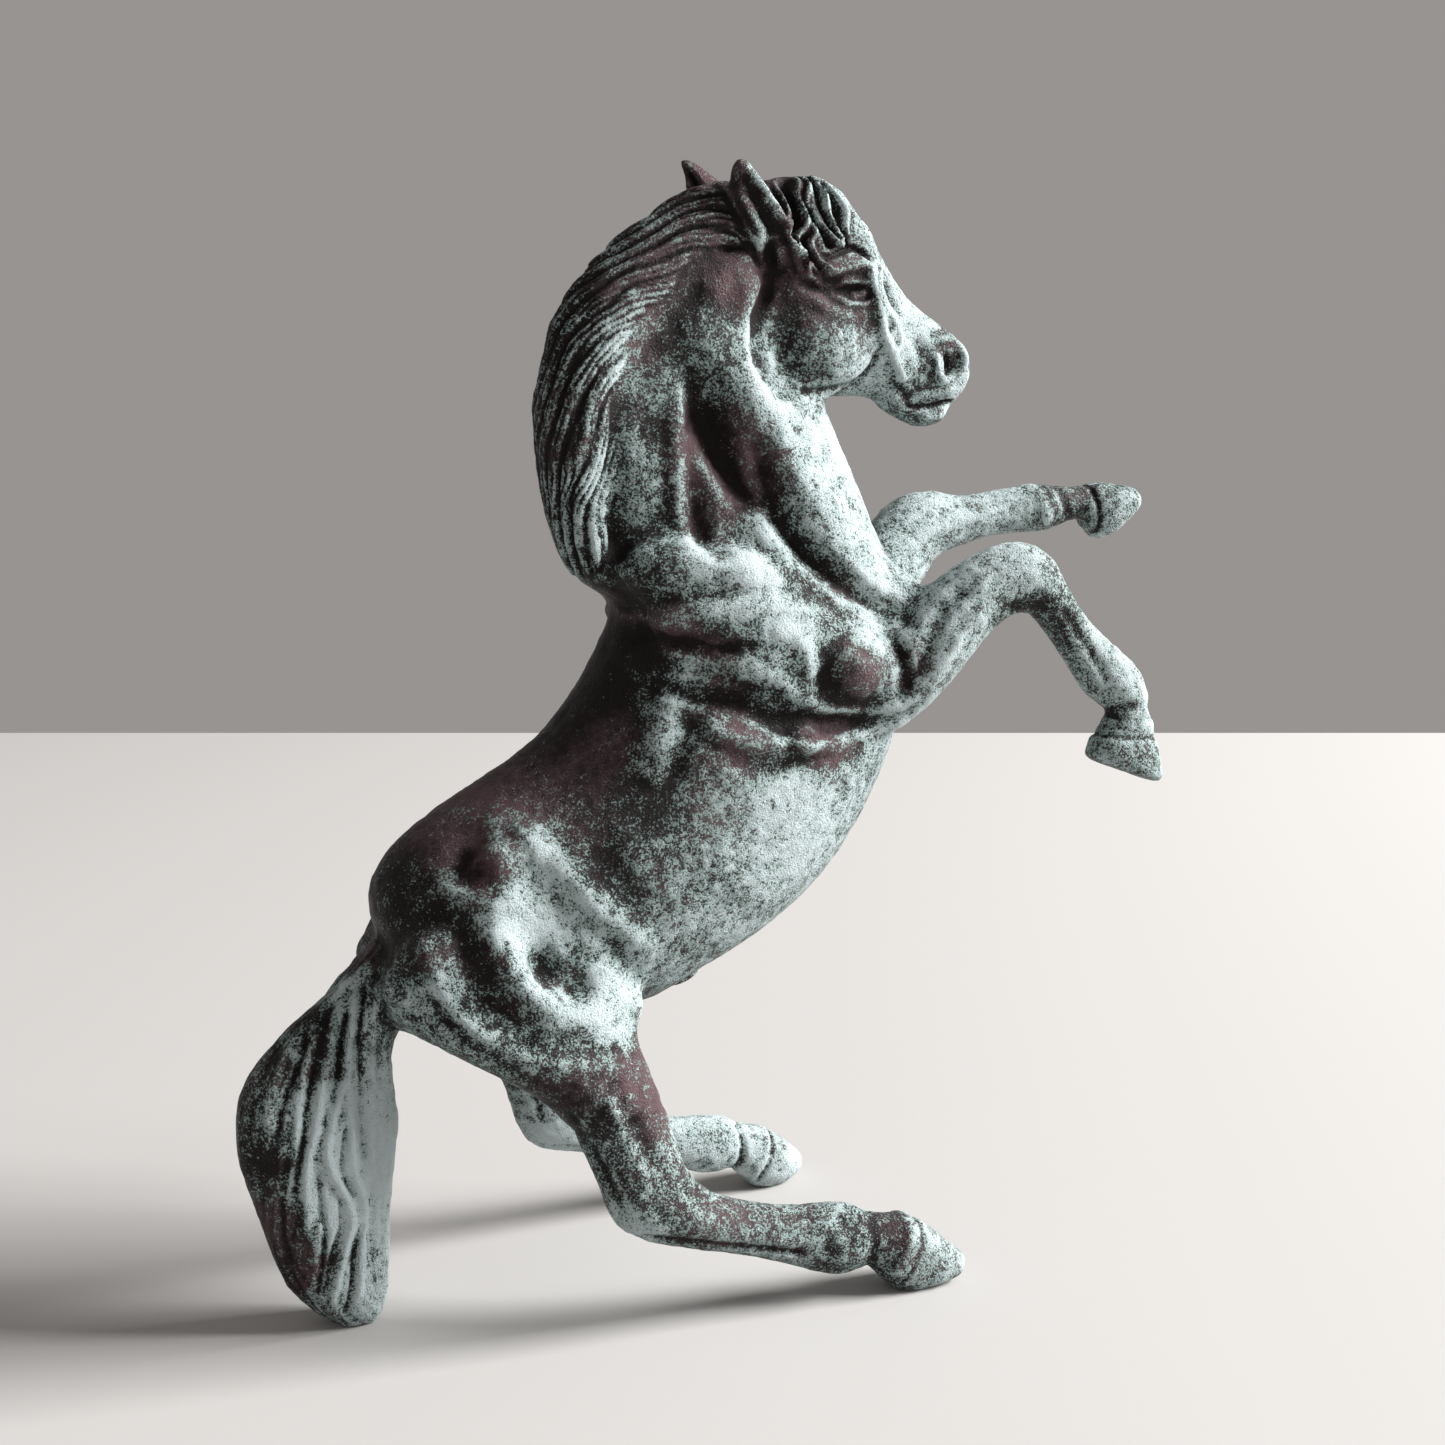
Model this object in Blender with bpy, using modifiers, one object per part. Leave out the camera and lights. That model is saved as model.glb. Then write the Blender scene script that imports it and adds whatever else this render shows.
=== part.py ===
"""Cast bronze statue of a rearing horse that stands on its two hind hooves and the tip of its tail.

The form is laid out as one figure, from lofted sections and muscle masses, and is then divided where a
foundry divides it: a hollow torso, a hollow neck with the head, four legs and the tail. Each casting has
a spigot or a sleeve that sits in its neighbour, with a cross pin through both. The horse faces +X, its
left side is +Y, and it stands on Z = 0.
"""

import math
from collections import namedtuple

import bmesh
import bpy
import numpy as np
from mathutils import Matrix, Vector
from mathutils.bvhtree import BVHTree

# ---------------------------------------------------------------- driving dimensions
HEIGHT = 0.250  # floor to ear tip, metres
DRAWN_HEIGHT = 251.8  # the same height in drawing units, which are about a millimetre
UNIT = HEIGHT / DRAWN_HEIGHT

GAP = 0.3  # clearance between castings, and round every pin
SKIN_VOXEL = 1.1  # grid that blends the masses into one skin
SKIN_TRIANGLES = 8200

SPIGOT_RADIUS = 3.4
SPIGOT_LENGTH = 9.0
PIN_RADIUS = 1.0
PIN_INSET = 0.6  # pin heads are set below the skin and chased over
CORE_PIN_RADIUS = 0.9
PLUG_RADIUS = 3.2
SLEEVE_LENGTH = 8.0
SLEEVE_WALL = 2.2

# ---------------------------------------------------------------- sections of the figure
# A section is drawn by its two points on the profile, in the X-Z plane, the Y of its middle and its
# half width. egg moves the widest place towards the second point, and power squares the oval off.
Section = namedtuple("Section", "first second y half_width egg power", defaults=(0.0, 2.0))

TRUNK = [
    Section((-57, 88), (-47, 72), 0, 9),
    Section((-57, 95.5), (-38, 66), 0, 15),
    Section((-51.5, 104), (-23, 63), 0, 20),
    Section((-43, 110.5), (-8, 63), 0, 23.5, 0.05),
    Section((-33.5, 116.5), (5, 65.5), 0, 25, 0.1),
    Section((-25, 121.5), (17, 71.5), 0, 25.5, 0.15),
    Section((-18, 127), (28, 77), 0, 26, 0.15),
    Section((-12, 134), (38, 83.5), 0, 26.5, 0.12),
    Section((-7.5, 141), (47, 91.5), 0, 26.5, 0.12),
    Section((-4, 148), (55, 102), 0, 26, 0.1),
    Section((-2, 154), (61, 113), 0, 25, 0.1),
    Section((0, 160), (66, 125), 0, 24, 0.05),
    Section((4, 165), (69, 139), 0, 22),
    Section((14, 168), (69, 151), 0, 17),
]
NECK = [
    Section((0, 150), (67, 138), 0, 21, 0.3),
    Section((-5, 160), (69, 152), 0, 20, 0.35),
    Section((-10, 172), (62, 166), 0, 17, 0.35),
    Section((-13, 186), (56, 180), 0, 14, 0.35),
    Section((-14, 200), (51, 191), 0, 12.5, 0.35),
    Section((-11, 213), (47, 199), 0, 11.5, 0.35),
    Section((-3, 225), (44, 206), 0, 10.5, 0.3),
    Section((8, 235), (42, 213), 0, 9.5, 0.25),
    Section((20, 241), (40, 222), 0, 9, 0.2),
]
MANE = [
    Section((30, 246), (35, 238), 0, 5),
    Section((20, 244.5), (27, 230), -1, 8),
    Section((9, 239.5), (20, 222), -1, 9),
    Section((-3, 230), (12, 212), -1, 9.5),
    Section((-13, 218.5), (4, 202), -1, 9.5),
    Section((-18, 204), (-1, 192), -1, 9.5),
    Section((-19, 190), (-2, 180), -1, 9.5),
    Section((-17, 176), (-1, 168), -1, 9),
    Section((-12.5, 164), (1, 159), -1, 8),
    Section((-7.5, 157), (1, 155), -1, 5),
]
HEAD = [
    Section((27, 243), (36, 216), 0, 8.5),
    Section((34, 247), (42, 204), 0, 9.5),
    Section((42, 248), (48, 199.5), 0, 10, -0.1),
    Section((50, 245), (55, 199.5), 0, 9.8, -0.15),
    Section((56, 239), (61, 199), 0, 9, -0.15),
    Section((61.5, 231), (65, 198), 0, 7.6, -0.1),
    Section((67, 224), (69, 196), 0, 6.3),
    Section((73, 219), (72, 195), 0, 5.8),
    Section((79, 215.5), (76, 195.5), 0, 6.2),
    Section((83, 211.5), (80, 198), 0, 5.6),
    Section((84.5, 207), (83, 201), 0, 3.8),
]
CHIN = [
    Section((62, 203), (62, 197.5), 0, 5),
    Section((69, 201), (68, 194), 0, 4.6),
    Section((74.5, 199.5), (73, 192.5), 0, 4.2),
    Section((79, 197.5), (78.5, 194), 0, 3.0),
]
EAR_RIGHT = [
    Section((37, 228), (26, 230), -7, 3.5),
    Section((36.5, 233), (23.5, 236), -8, 3.4),
    Section((33, 240), (22, 242), -9, 2.8),
    Section((28.5, 246), (22.3, 246.5), -9.6, 1.9),
    Section((25.5, 250), (23, 249.8), -10, 0.9),
]
EAR_LEFT = [
    Section((34, 236), (24, 234), 7, 3.5),
    Section((31.5, 242), (21, 240), 8, 3.4),
    Section((26.5, 247.5), (18, 246), 9, 2.7),
    Section((21.5, 251.2), (17, 250.5), 9.6, 1.7),
    Section((18.5, 253), (17, 252.4), 10, 0.9),
]
FORELEG_RIGHT = [
    Section((50, 150), (50, 122), -13, 9),
    Section((60.5, 153), (59.5, 125), -16, 9),
    Section((68, 159), (70, 134), -18, 8),
    Section((74.7, 163.5), (77.5, 143), -19, 7),
    Section((82.3, 166.8), (83.7, 149), -19.5, 6.2),
    Section((89, 167.5), (88, 151), -20, 6.2),
    Section((96, 164), (91, 150.5), -20, 6.2),
    Section((100.5, 156.5), (94, 148), -20, 5.6),
    Section((107, 148.5), (99.5, 141), -20, 5),
    Section((115, 142), (104, 134.5), -20, 5),
    Section((120, 137.5), (107, 131), -20, 5.6),
    Section((122.6, 131.5), (110.3, 128.7), -20, 5.6),
    Section((123.3, 126.5), (112.6, 126.5), -20, 4.8),
    Section((125, 121.5), (110.5, 123.5), -20, 5.4),
]
HOOF_FORE_RIGHT = [
    Section((122.3, 124), (111.3, 124.5), -20, 4.6, 0, 2.4),
    Section((125.4, 119.6), (108.6, 121.5), -20, 6.3, 0, 2.4),
    Section((126.2, 114.5), (107.6, 119), -20, 7.0, 0, 2.4),
    Section((127.2, 109.4), (107.2, 116.6), -20, 7.2, 0, 2.4),
]
FORELEG_LEFT = [
    Section((54.1, 160), (62.2, 136), 11, 9),
    Section((65.3, 167), (75.5, 149.5), 15, 8.5),
    Section((70.9, 173.5), (82.1, 156.5), 17, 7.4),
    Section((77.5, 178), (86.2, 161.5), 18, 6.5),
    Section((84.7, 178.3), (89.8, 163), 18.5, 5.9),
    Section((91.8, 177), (94.8, 164.5), 19, 5.2),
    Section((98.8, 177.4), (100.8, 166), 19, 4.8),
    Section((105.8, 178.6), (107.8, 167), 19, 5),
    Section((112.8, 179.4), (114.8, 167.2), 19, 5.6),
    Section((119.3, 179.2), (121.8, 169), 19, 5.2),
    Section((124.3, 178.6), (127.1, 170.6), 19, 4.6),
    Section((128.3, 179.3), (129.8, 167.5), 19, 5.2),
]
HOOF_FORE_LEFT = [
    Section((126.8, 178.5), (128.3, 168), 19, 4.8, 0, 2.4),
    Section((130.6, 179.8), (131.1, 165), 19, 6.2, 0, 2.4),
    Section((136.8, 179.2), (135.8, 166.5), 19, 6.7, 0, 2.4),
    Section((142.8, 178.2), (141.8, 172), 19, 6.0, 0, 2.4),
]
HIND_RIGHT = [
    Section((-4, 84), (-52, 76), -15, 11),
    Section((-4, 72), (-51, 67), -17.5, 11.5),
    Section((-4, 63.5), (-41, 60), -20, 11),
    Section((-2, 56), (-29, 53), -22.5, 9.5),
    Section((0.5, 48.5), (-21.5, 46), -25, 8),
    Section((2.2, 42), (-18, 39), -27, 6.8),
    Section((4, 36), (-15.5, 32.5), -28.5, 6.2),
    Section((7, 31), (-13, 25), -29.5, 6.2),
    Section((12, 27.5), (-7, 20), -30, 6.1),
    Section((18, 25.3), (4, 16.5), -30, 5.7),
    Section((25, 23.5), (17, 12.8), -30, 5.3),
    Section((32.5, 22.4), (27, 9.4), -30, 5.2),
    Section((38.5, 22.2), (34.5, 6.3), -30, 5.7),
    Section((43.5, 21.2), (41.5, 4.8), -30, 6),
    Section((47, 18.8), (46.5, 6.6), -30, 5.4),
    Section((51.5, 17.8), (49.5, 4.2), -30, 5.8),
]
HOOF_HIND_RIGHT = [
    Section((48.5, 16.5), (48, 5.5), -30, 5, 0, 2.4),
    Section((55, 17.3), (50.5, 2.5), -30, 6.3, 0, 2.4),
    Section((60.5, 15), (54, -0.6), -30, 7, 0, 2.4),
    Section((66.5, 9.8), (61, -0.9), -30, 6.8, 0, 2.4),
    Section((71.6, 5.6), (69.5, 0.8), -30, 4.8, 0, 2.4),
]
HIND_LEFT = [
    Section((-6, 84), (-52, 76), 15, 11),
    Section((-7, 72), (-51, 67), 18, 11.5),
    Section((-8, 63.5), (-43, 60), 21, 11),
    Section((-7, 56), (-33, 53), 24, 9.5),
    Section((-4.5, 48.5), (-26, 47), 26.5, 8),
    Section((-2, 42), (-22, 40), 28.5, 6.8),
    Section((0, 36), (-19.5, 33.5), 30, 6.2),
    Section((2.5, 31), (-17.5, 27), 31, 6.2),
    Section((7, 27.5), (-13, 20.5), 32, 6.1),
    Section((13, 25), (-2, 17.5), 33, 5.7),
    Section((20, 23.3), (11, 13.8), 34, 5.3),
    Section((27, 22.2), (21, 10.4), 35, 5.2),
    Section((33.5, 21.6), (28.5, 7.3), 36, 5.7),
    Section((38.5, 20.4), (35, 5.6), 37, 6),
    Section((42.5, 18), (39.5, 6.6), 37.5, 5.4),
    Section((46.5, 17), (43, 4.2), 38, 5.8),
]
HOOF_HIND_LEFT = [
    Section((43.5, 16), (41, 5.5), 38, 5, 0, 2.4),
    Section((49.5, 15.8), (44, 2.5), 39, 6.3, 0, 2.4),
    Section((54, 12.8), (47.5, -0.6), 40, 7, 0, 2.4),
    Section((58.5, 9), (53.5, -0.9), 41, 6.8, 0, 2.4),
    Section((62, 5.6), (60, 1.2), 42, 4.6, 0, 2.4),
]
TAIL = [
    Section((-49, 93), (-42, 80), 0, 7),
    Section((-57.5, 82.5), (-48, 68), 0, 8),
    Section((-66, 73.5), (-52.5, 62), -1, 8.5),
    Section((-76.5, 65.5), (-53.5, 57), -2, 9.5),
    Section((-85, 56.5), (-53, 50.5), -2.5, 10.5),
    Section((-88, 46.5), (-52.5, 43.5), -3, 11),
    Section((-87, 37), (-53.5, 35), -3, 10.5),
    Section((-84, 27.5), (-54.5, 26), -3, 10),
    Section((-81.5, 18.5), (-55, 17.5), -3, 9),
    Section((-78, 9.5), (-55.3, 9), -3, 8),
    Section((-72, 3), (-56.3, 3), -3, 6.8),
    Section((-67, -0.8), (-58.5, -0.8), -3, 5),
]

# Muscle masses, each an ellipsoid: place on the profile, distance from the middle plane, radii along
# its length, across it and outwards, and the tilt of its length above +X. Both sides have them.
Mass = namedtuple("Mass", "x z y along across out tilt")
MASSES = [
    Mass(45, 212, 5, 13, 12.5, 5.6, 0),  # jowl
    Mass(53.5, 226, 5.2, 6, 4, 4.4, -30),  # brow
    Mass(68, 211, 2.5, 13, 5, 4, -38),  # side of the face
    Mass(79.5, 208, 3.2, 4.6, 4.2, 3.2, -60),  # nostril
    Mass(46, 168, 8.5, 30, 8.5, 8.5, -52),  # brachiocephalic
    Mass(58, 151, 9, 11, 12, 9, -40),  # point of the shoulder
    Mass(20, 159, 12.5, 26, 10, 9.5, -10),  # shoulder blade
    Mass(27, 146, 16.5, 27, 13, 9.5, -12),  # triceps
    Mass(45, 140, 19, 9, 8, 7, 0),  # elbow
    Mass(5, 188, 4.5, 26, 12, 8, 84),  # splenius
    Mass(-34, 91, 13, 17, 11, 10.5, 38),  # croup
    Mass(-34, 101.5, 17.5, 7, 5, 4.6, 20),  # point of the hip
    Mass(-32, 79, 15, 26, 17, 11.5, 12),  # thigh
    Mass(-12, 70, 19.5, 8, 10.5, 6, 70),  # stifle
    Mass(-48, 77, 10, 13, 9, 8, 70),  # back of the thigh
    Mass(20, 115, 12.5, 32, 26, 14.5, 48),  # ribs
]
FORELOCK = [
    Mass(45, 240.5, 1, 10, 7, 8, -20),
    Mass(53, 234.5, 4, 8, 4.5, 5, -50),
]

# Strokes of the modelling tool: the stroke's route on the profile, its distance from the middle plane,
# how wide it reaches and how far it lifts the skin (a minus sign presses it in). Both sides have them.
Stroke = namedtuple("Stroke", "route y reach lift")
STROKES = [
    Stroke([(14, 202), (17, 190), (22, 177)], 13, 9, -1.6),  # hollow of the neck
    Stroke([(31, 228), (32, 215), (36, 203)], 10, 6, -2.0),  # behind the jowl
    Stroke([(-2, 154), (12, 151), (30, 153), (47, 151)], 23, 5, -1.2),  # above the triceps
    Stroke([(5, 147), (14, 137), (30, 130), (50, 129)], 25, 6, -1.6),  # behind the triceps
    Stroke([(-24, 101), (-20, 92), (-12, 84)], 25, 9, -1.6),  # flank
    Stroke([(-38, 101), (-43, 94)], 24, 8, -1.2),  # behind the point of the hip
    Stroke([(-25, 84), (-20, 76)], 27, 7, -1.8),  # hollow above the stifle
    Stroke([(-54, 80), (-42, 68), (-28, 62)], 20, 6, -1.2),  # edge of the thigh
    Stroke([(52, 223.5), (56, 221)], 9, 3.5, -1.0),  # below the eye
    Stroke([(78.5, 208.5), (78, 206)], 6, 2.6, -1.6),  # nostril
]

# The core of the hollow castings, from the rump to the poll.
CORE = [
    Section((-45, 98), (-30, 79), 0, 11),
    Section((-36, 107), (-8, 75), 0, 17),
    Section((-24, 112), (12, 81), 0, 20),
    Section((-12, 123), (30, 91), 0, 20.5),
    Section((-2, 137), (44, 104), 0, 20),
    Section((4, 150), (53, 122), 0, 18),
    Section((5, 158), (57, 139), 0, 15.5),
    Section((3, 166), (56, 153), 0, 13),
    Section((0, 175), (52, 167), 0, 11),
    Section((-1, 187), (46, 181), 0, 8.5),
    Section((1, 200), (40, 193), 0, 7),
    Section((7, 213), (36, 205), 0, 6),
    Section((19, 226), (41, 213), 0, 5.5),
    Section((30, 232), (45, 217), 0, 4.5),
]

# Where the figure is divided: the middle of the saw cut, the way out of the torso, and how far the cut
# reaches along the profile and across it.
Parting = namedtuple("Parting", "x y z away reach half_width")
PARTINGS = {
    "right_foreleg": Parting(75.5, -20, 152.5, (0.66, 0.75), 15, 14),
    "left_foreleg": Parting(77.5, 20, 166.5, (0.64, 0.77), 15, 14),
    "right_hind_leg": Parting(-10, -27, 46.5, (0.22, -0.975), 22, 16),
    "left_hind_leg": Parting(-15, 29, 47, (0.22, -0.975), 22, 16),
    "tail": Parting(-65, -2, 65.5, (-0.55, -0.835), 20, 20),
    "neck_and_head": Parting(30, 0, 164.5, (-0.24, 0.97), 48, 40),
}
SPIGOTS = [name for name in PARTINGS if name != "neck_and_head"]

# Where the neck sleeve is pinned, where the core was taken out, and where it was held in the mould.
NECK_PIN = (31, 160.8)
PLUG = ((13.5, 69.5), (0.42, -0.907))
CORE_PINS = [(20, 99), (34, 126), (-22, 101)]


def point(x, y, z):
    """A place in the drawing, in metres."""
    return Vector((x, y, z)) * UNIT


def bronze(name, colour, roughness):
    """A bronze finish: its base colour and how rough it is."""
    made = bpy.data.materials.new(name)
    made.use_nodes = True
    shader = made.node_tree.nodes["Principled BSDF"]
    shader.inputs["Base Color"].default_value = (*colour, 1)
    shader.inputs["Roughness"].default_value = roughness
    shader.inputs["Metallic"].default_value = 0.6
    return made


def collection(name):
    """A new collection in the scene."""
    made = bpy.data.collections.new(name)
    bpy.context.scene.collection.children.link(made)
    return made


def object_of(name, bm, into):
    """A mesh object from a bmesh, shaded smooth."""
    mesh = bpy.data.meshes.new(name)
    bm.normal_update()
    bmesh.ops.recalc_face_normals(bm, faces=bm.faces)
    bm.to_mesh(mesh)
    bm.free()
    mesh.shade_smooth()
    made = bpy.data.objects.new(name, mesh)
    into.objects.link(made)
    return made


def smooth_between(values, steps):
    """Catmull-Rom points through the rows of values, with the first and the last kept."""
    rows = np.asarray(values, float)
    padded = np.vstack([2 * rows[0] - rows[1], rows, 2 * rows[-1] - rows[-2]])
    made = []
    for i in range(1, len(padded) - 2):
        before, start, end, after = padded[i - 1 : i + 3]
        for t in np.linspace(0, 1, steps, endpoint=False):
            made.append(
                start
                + 0.5 * t * (end - before)
                + t * t * (before - 2.5 * start + 2 * end - 0.5 * after)
                + 0.5 * t**3 * (3 * start - before - 3 * end + after)
            )
    made.append(rows[-1])
    return np.array(made)


def loft(name, sections, into, shrink=0.0, sides=22, steps=3):
    """A closed skin through the sections. shrink takes that much off all round, for a core."""
    table = [(*s.first, *s.second, s.y, s.half_width, s.egg, s.power) for s in sections]
    bm = bmesh.new()
    rings = []
    for ax, az, bx, bz, y, half_width, egg, power in smooth_between(table, steps):
        middle = Vector(((ax + bx) / 2, y, (az + bz) / 2))
        half = Vector(((ax - bx) / 2, 0, (az - bz) / 2))
        half *= max(1 - shrink / half.length, 0.1)
        half_width = max(half_width - shrink, 0.5)
        ring = []
        for k in range(sides):
            angle = 2 * math.pi * k / sides
            along = math.copysign(abs(math.cos(angle)) ** (2 / power), math.cos(angle))
            aside = math.copysign(abs(math.sin(angle)) ** (2 / power), math.sin(angle))
            aside *= half_width * (1 - egg * along)
            ring.append(bm.verts.new((middle + half * along + Vector((0, aside, 0))) * UNIT))
        rings.append(ring)
    for ring, after in zip(rings, rings[1:]):
        for k in range(sides):
            n = (k + 1) % sides
            bm.faces.new((ring[k], ring[n], after[n], after[k]))
    bm.faces.new(rings[0])
    bm.faces.new(rings[-1])
    return object_of(name, bm, into)


def ellipsoid(name, mass, side, into):
    """One muscle mass, on the left (side 1) or the right (side -1)."""
    bm = bmesh.new()
    bmesh.ops.create_uvsphere(bm, u_segments=20, v_segments=14, radius=1.0)
    turn = Matrix.Rotation(math.radians(-mass.tilt), 4, "Y")
    size = Matrix.Diagonal((mass.along * UNIT, mass.out * UNIT, mass.across * UNIT, 1))
    place = Matrix.Translation(point(mass.x, mass.y * side, mass.z))
    bm.transform(place @ turn @ size)
    return object_of(name, bm, into)


def cylinder(name, start, end, radius, into, segments=16):
    """A rod from start to end, both in metres."""
    start, end = Vector(start), Vector(end)
    axis = end - start
    bm = bmesh.new()
    bmesh.ops.create_cone(
        bm,
        cap_ends=True,
        segments=segments,
        radius1=radius * UNIT,
        radius2=radius * UNIT,
        depth=axis.length,
    )
    turn = axis.to_track_quat("Z", "Y").to_matrix().to_4x4()
    bm.transform(Matrix.Translation((start + end) / 2) @ turn)
    return object_of(name, bm, into)


def plate(name, parting, start, end, into):
    """A plate across the parting, from start to end along the way out of the torso."""
    away = Vector((parting.away[0], 0, parting.away[1])).normalized()
    aside = Vector((0, 1, 0))
    axes = Matrix((aside.cross(away), aside, away)).transposed().to_4x4()
    size = Vector((2 * parting.reach, 2 * parting.half_width, end - start)) * UNIT
    middle = point(parting.x, parting.y, parting.z) + away * (start + end) / 2 * UNIT
    bm = bmesh.new()
    bmesh.ops.create_cube(bm, size=1.0)
    bm.transform(Matrix.Translation(middle) @ axes @ Matrix.Diagonal((*size, 1)))
    return object_of(name, bm, into)


def evaluated_copy(name, source, into):
    """A new object that holds the source's mesh with its modifiers applied."""
    graph = bpy.context.evaluated_depsgraph_get()
    graph.update()
    mesh = bpy.data.meshes.new_from_object(source.evaluated_get(graph))
    made = bpy.data.objects.new(name, mesh)
    made.matrix_world = source.matrix_world
    into.objects.link(made)
    return made


def discard(*objects):
    for obj in objects:
        bpy.data.objects.remove(obj)


def combined(name, source, operation, others, into):
    """The source with each of the others joined, cut away or kept in common, as a new object."""
    for other in others:
        modifier = source.modifiers.new("bool", "BOOLEAN")
        modifier.operation = operation
        modifier.object = other
    made = evaluated_copy(name, source, into)
    source.modifiers.clear()
    return made


def joined(name, objects, into):
    """One object holding all the shapes, which may still overlap."""
    bm = bmesh.new()
    for obj in objects:
        bm.from_mesh(obj.data)
    made = object_of(name, bm, into)
    discard(*objects)
    return made


def reduced(obj, triangles):
    """Thins the object's mesh to about this many triangles."""
    obj.data.calc_loop_triangles()
    count = len(obj.data.loop_triangles)
    if count > triangles:
        modifier = obj.modifiers.new("thin", "DECIMATE")
        modifier.ratio = triangles / count


def distance_to_route(points, route):
    """How far each point is from the route, a row of places joined by straight lines."""
    nearest = np.full(len(points), np.inf)
    for start, end in zip(route, route[1:]):
        line = end - start
        share = np.clip((points - start) @ line / (line @ line), 0, 1)
        gap = points - start - share[:, None] * line
        nearest = np.minimum(nearest, np.sqrt((gap**2).sum(axis=1)))
    return nearest


def model_strokes(obj):
    """Lifts or presses the skin along each stroke, on both sides of the horse."""
    mesh = obj.data
    points = np.zeros(len(mesh.vertices) * 3)
    normals = np.zeros(len(mesh.vertices) * 3)
    mesh.vertices.foreach_get("co", points)
    mesh.vertex_normals.foreach_get("vector", normals)
    points = points.reshape(-1, 3)
    normals = normals.reshape(-1, 3)
    moved = np.zeros(len(points))
    for stroke in STROKES:
        for side in (-1, 1):
            route = np.array([(x, stroke.y * side, z) for x, z in stroke.route]) * UNIT
            share = distance_to_route(points, route) / (stroke.reach * UNIT)
            moved += stroke.lift * UNIT * np.clip(1 - share**2, 0, 1) ** 2
    mesh.vertices.foreach_set("co", (points + normals * moved[:, None]).ravel())
    mesh.update()


def build_figure(helpers):
    """The whole horse as one skin, standing on Z = 0."""
    lofts = {
        "trunk": TRUNK,
        "neck": NECK,
        "mane": MANE,
        "head": HEAD,
        "chin": CHIN,
        "ear_right": EAR_RIGHT,
        "ear_left": EAR_LEFT,
        "foreleg_right": FORELEG_RIGHT,
        "foreleg_left": FORELEG_LEFT,
        "hoof_fore_right": HOOF_FORE_RIGHT,
        "hoof_fore_left": HOOF_FORE_LEFT,
        "hind_right": HIND_RIGHT,
        "hind_left": HIND_LEFT,
        "hoof_hind_right": HOOF_HIND_RIGHT,
        "hoof_hind_left": HOOF_HIND_LEFT,
        "tail_hair": TAIL,
    }
    shapes = [loft(f"shape_{name}", sections, helpers) for name, sections in lofts.items()]
    for mass in MASSES:
        for side in (-1, 1):
            shapes.append(ellipsoid("shape_mass", mass, side, helpers))
    shapes += [ellipsoid("shape_forelock", mass, -1, helpers) for mass in FORELOCK]
    rough = joined("rough_figure", shapes, helpers)
    remesh = rough.modifiers.new("blend", "REMESH")
    remesh.mode = "VOXEL"
    remesh.voxel_size = SKIN_VOXEL * UNIT
    soften = rough.modifiers.new("soften", "SMOOTH")
    soften.factor = 0.5
    soften.iterations = 12
    skin = evaluated_copy("skin", rough, helpers)
    model_strokes(skin)
    reduced(skin, SKIN_TRIANGLES)
    thin = evaluated_copy("thin_skin", skin, helpers)
    floor = plate("floor", Parting(20, 0, 0, (0, -1), 150, 90), 0, 30, helpers)
    figure = combined("figure", thin, "DIFFERENCE", [floor], helpers)
    discard(rough, skin, thin, floor)
    return figure


def divided(figure, helpers):
    """The figure sawn through at every parting: a dict of its pieces by name."""
    cuts = [plate(f"cut_{name}", p, -GAP / 2, GAP / 2, helpers) for name, p in PARTINGS.items()]
    sawn = combined("sawn", figure, "DIFFERENCE", cuts, helpers)
    discard(*cuts)
    bm = bmesh.new()
    bm.from_mesh(sawn.data)
    loose = set(bm.verts)
    pieces = []
    while loose:
        reached = [loose.pop()]
        piece = set(reached)
        while reached:
            for edge in reached.pop().link_edges:
                for vert in edge.verts:
                    if vert not in piece:
                        piece.add(vert)
                        reached.append(vert)
        loose -= piece
        pieces.append(piece)
    made = {}
    for piece in sorted(pieces, key=len, reverse=True)[: len(PARTINGS) + 1]:
        whole = bmesh.new()
        whole.from_mesh(sawn.data)
        whole.verts.ensure_lookup_table()
        kept = {vert.index for vert in piece}
        others = [vert for vert in whole.verts if vert.index not in kept]
        bmesh.ops.delete(whole, geom=others, context="VERTS")
        middle = sum((vert.co for vert in whole.verts), Vector()) / len(whole.verts)
        beyond = {}
        for name, parting in PARTINGS.items():
            away = Vector((parting.away[0], 0, parting.away[1])).normalized()
            start = point(parting.x, parting.y, parting.z)
            nearest = min((vert.co - start).length for vert in whole.verts)
            if (middle - start).dot(away) > 0 and nearest < parting.reach * UNIT:
                beyond[name] = nearest / parting.reach
        name = min(beyond, key=beyond.get) if beyond else "torso_shell"
        made[name] = object_of(name, whole, helpers)
    discard(sawn)
    return made


def nearest_skin(skin, start, direction):
    """Where the skin is met first from outside, coming back along the direction towards the start."""
    far = start + direction * HEIGHT
    return skin.ray_cast(far, -direction)[0]


def fit_spigots(pieces, helpers):
    """Gives each limb its spigot, and the torso the socket for it."""
    torso = pieces["torso_shell"]
    sockets = []
    for name in SPIGOTS:
        parting = PARTINGS[name]
        away = Vector((parting.away[0], 0, parting.away[1])).normalized()
        start = point(parting.x, parting.y, parting.z)
        end = start - away * SPIGOT_LENGTH * UNIT
        spigot = cylinder("spigot", start + away * 3 * UNIT, end, SPIGOT_RADIUS, helpers, 20)
        pieces[name] = replaced(pieces[name], "UNION", [spigot], helpers)
        discard(spigot)
        bottom = end - away * GAP * 2 * UNIT
        sockets.append(
            cylinder("socket", start + away * UNIT, bottom, SPIGOT_RADIUS + GAP, helpers, 20)
        )
    pieces["torso_shell"] = replaced(torso, "DIFFERENCE", sockets, helpers)
    discard(*sockets)


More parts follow.
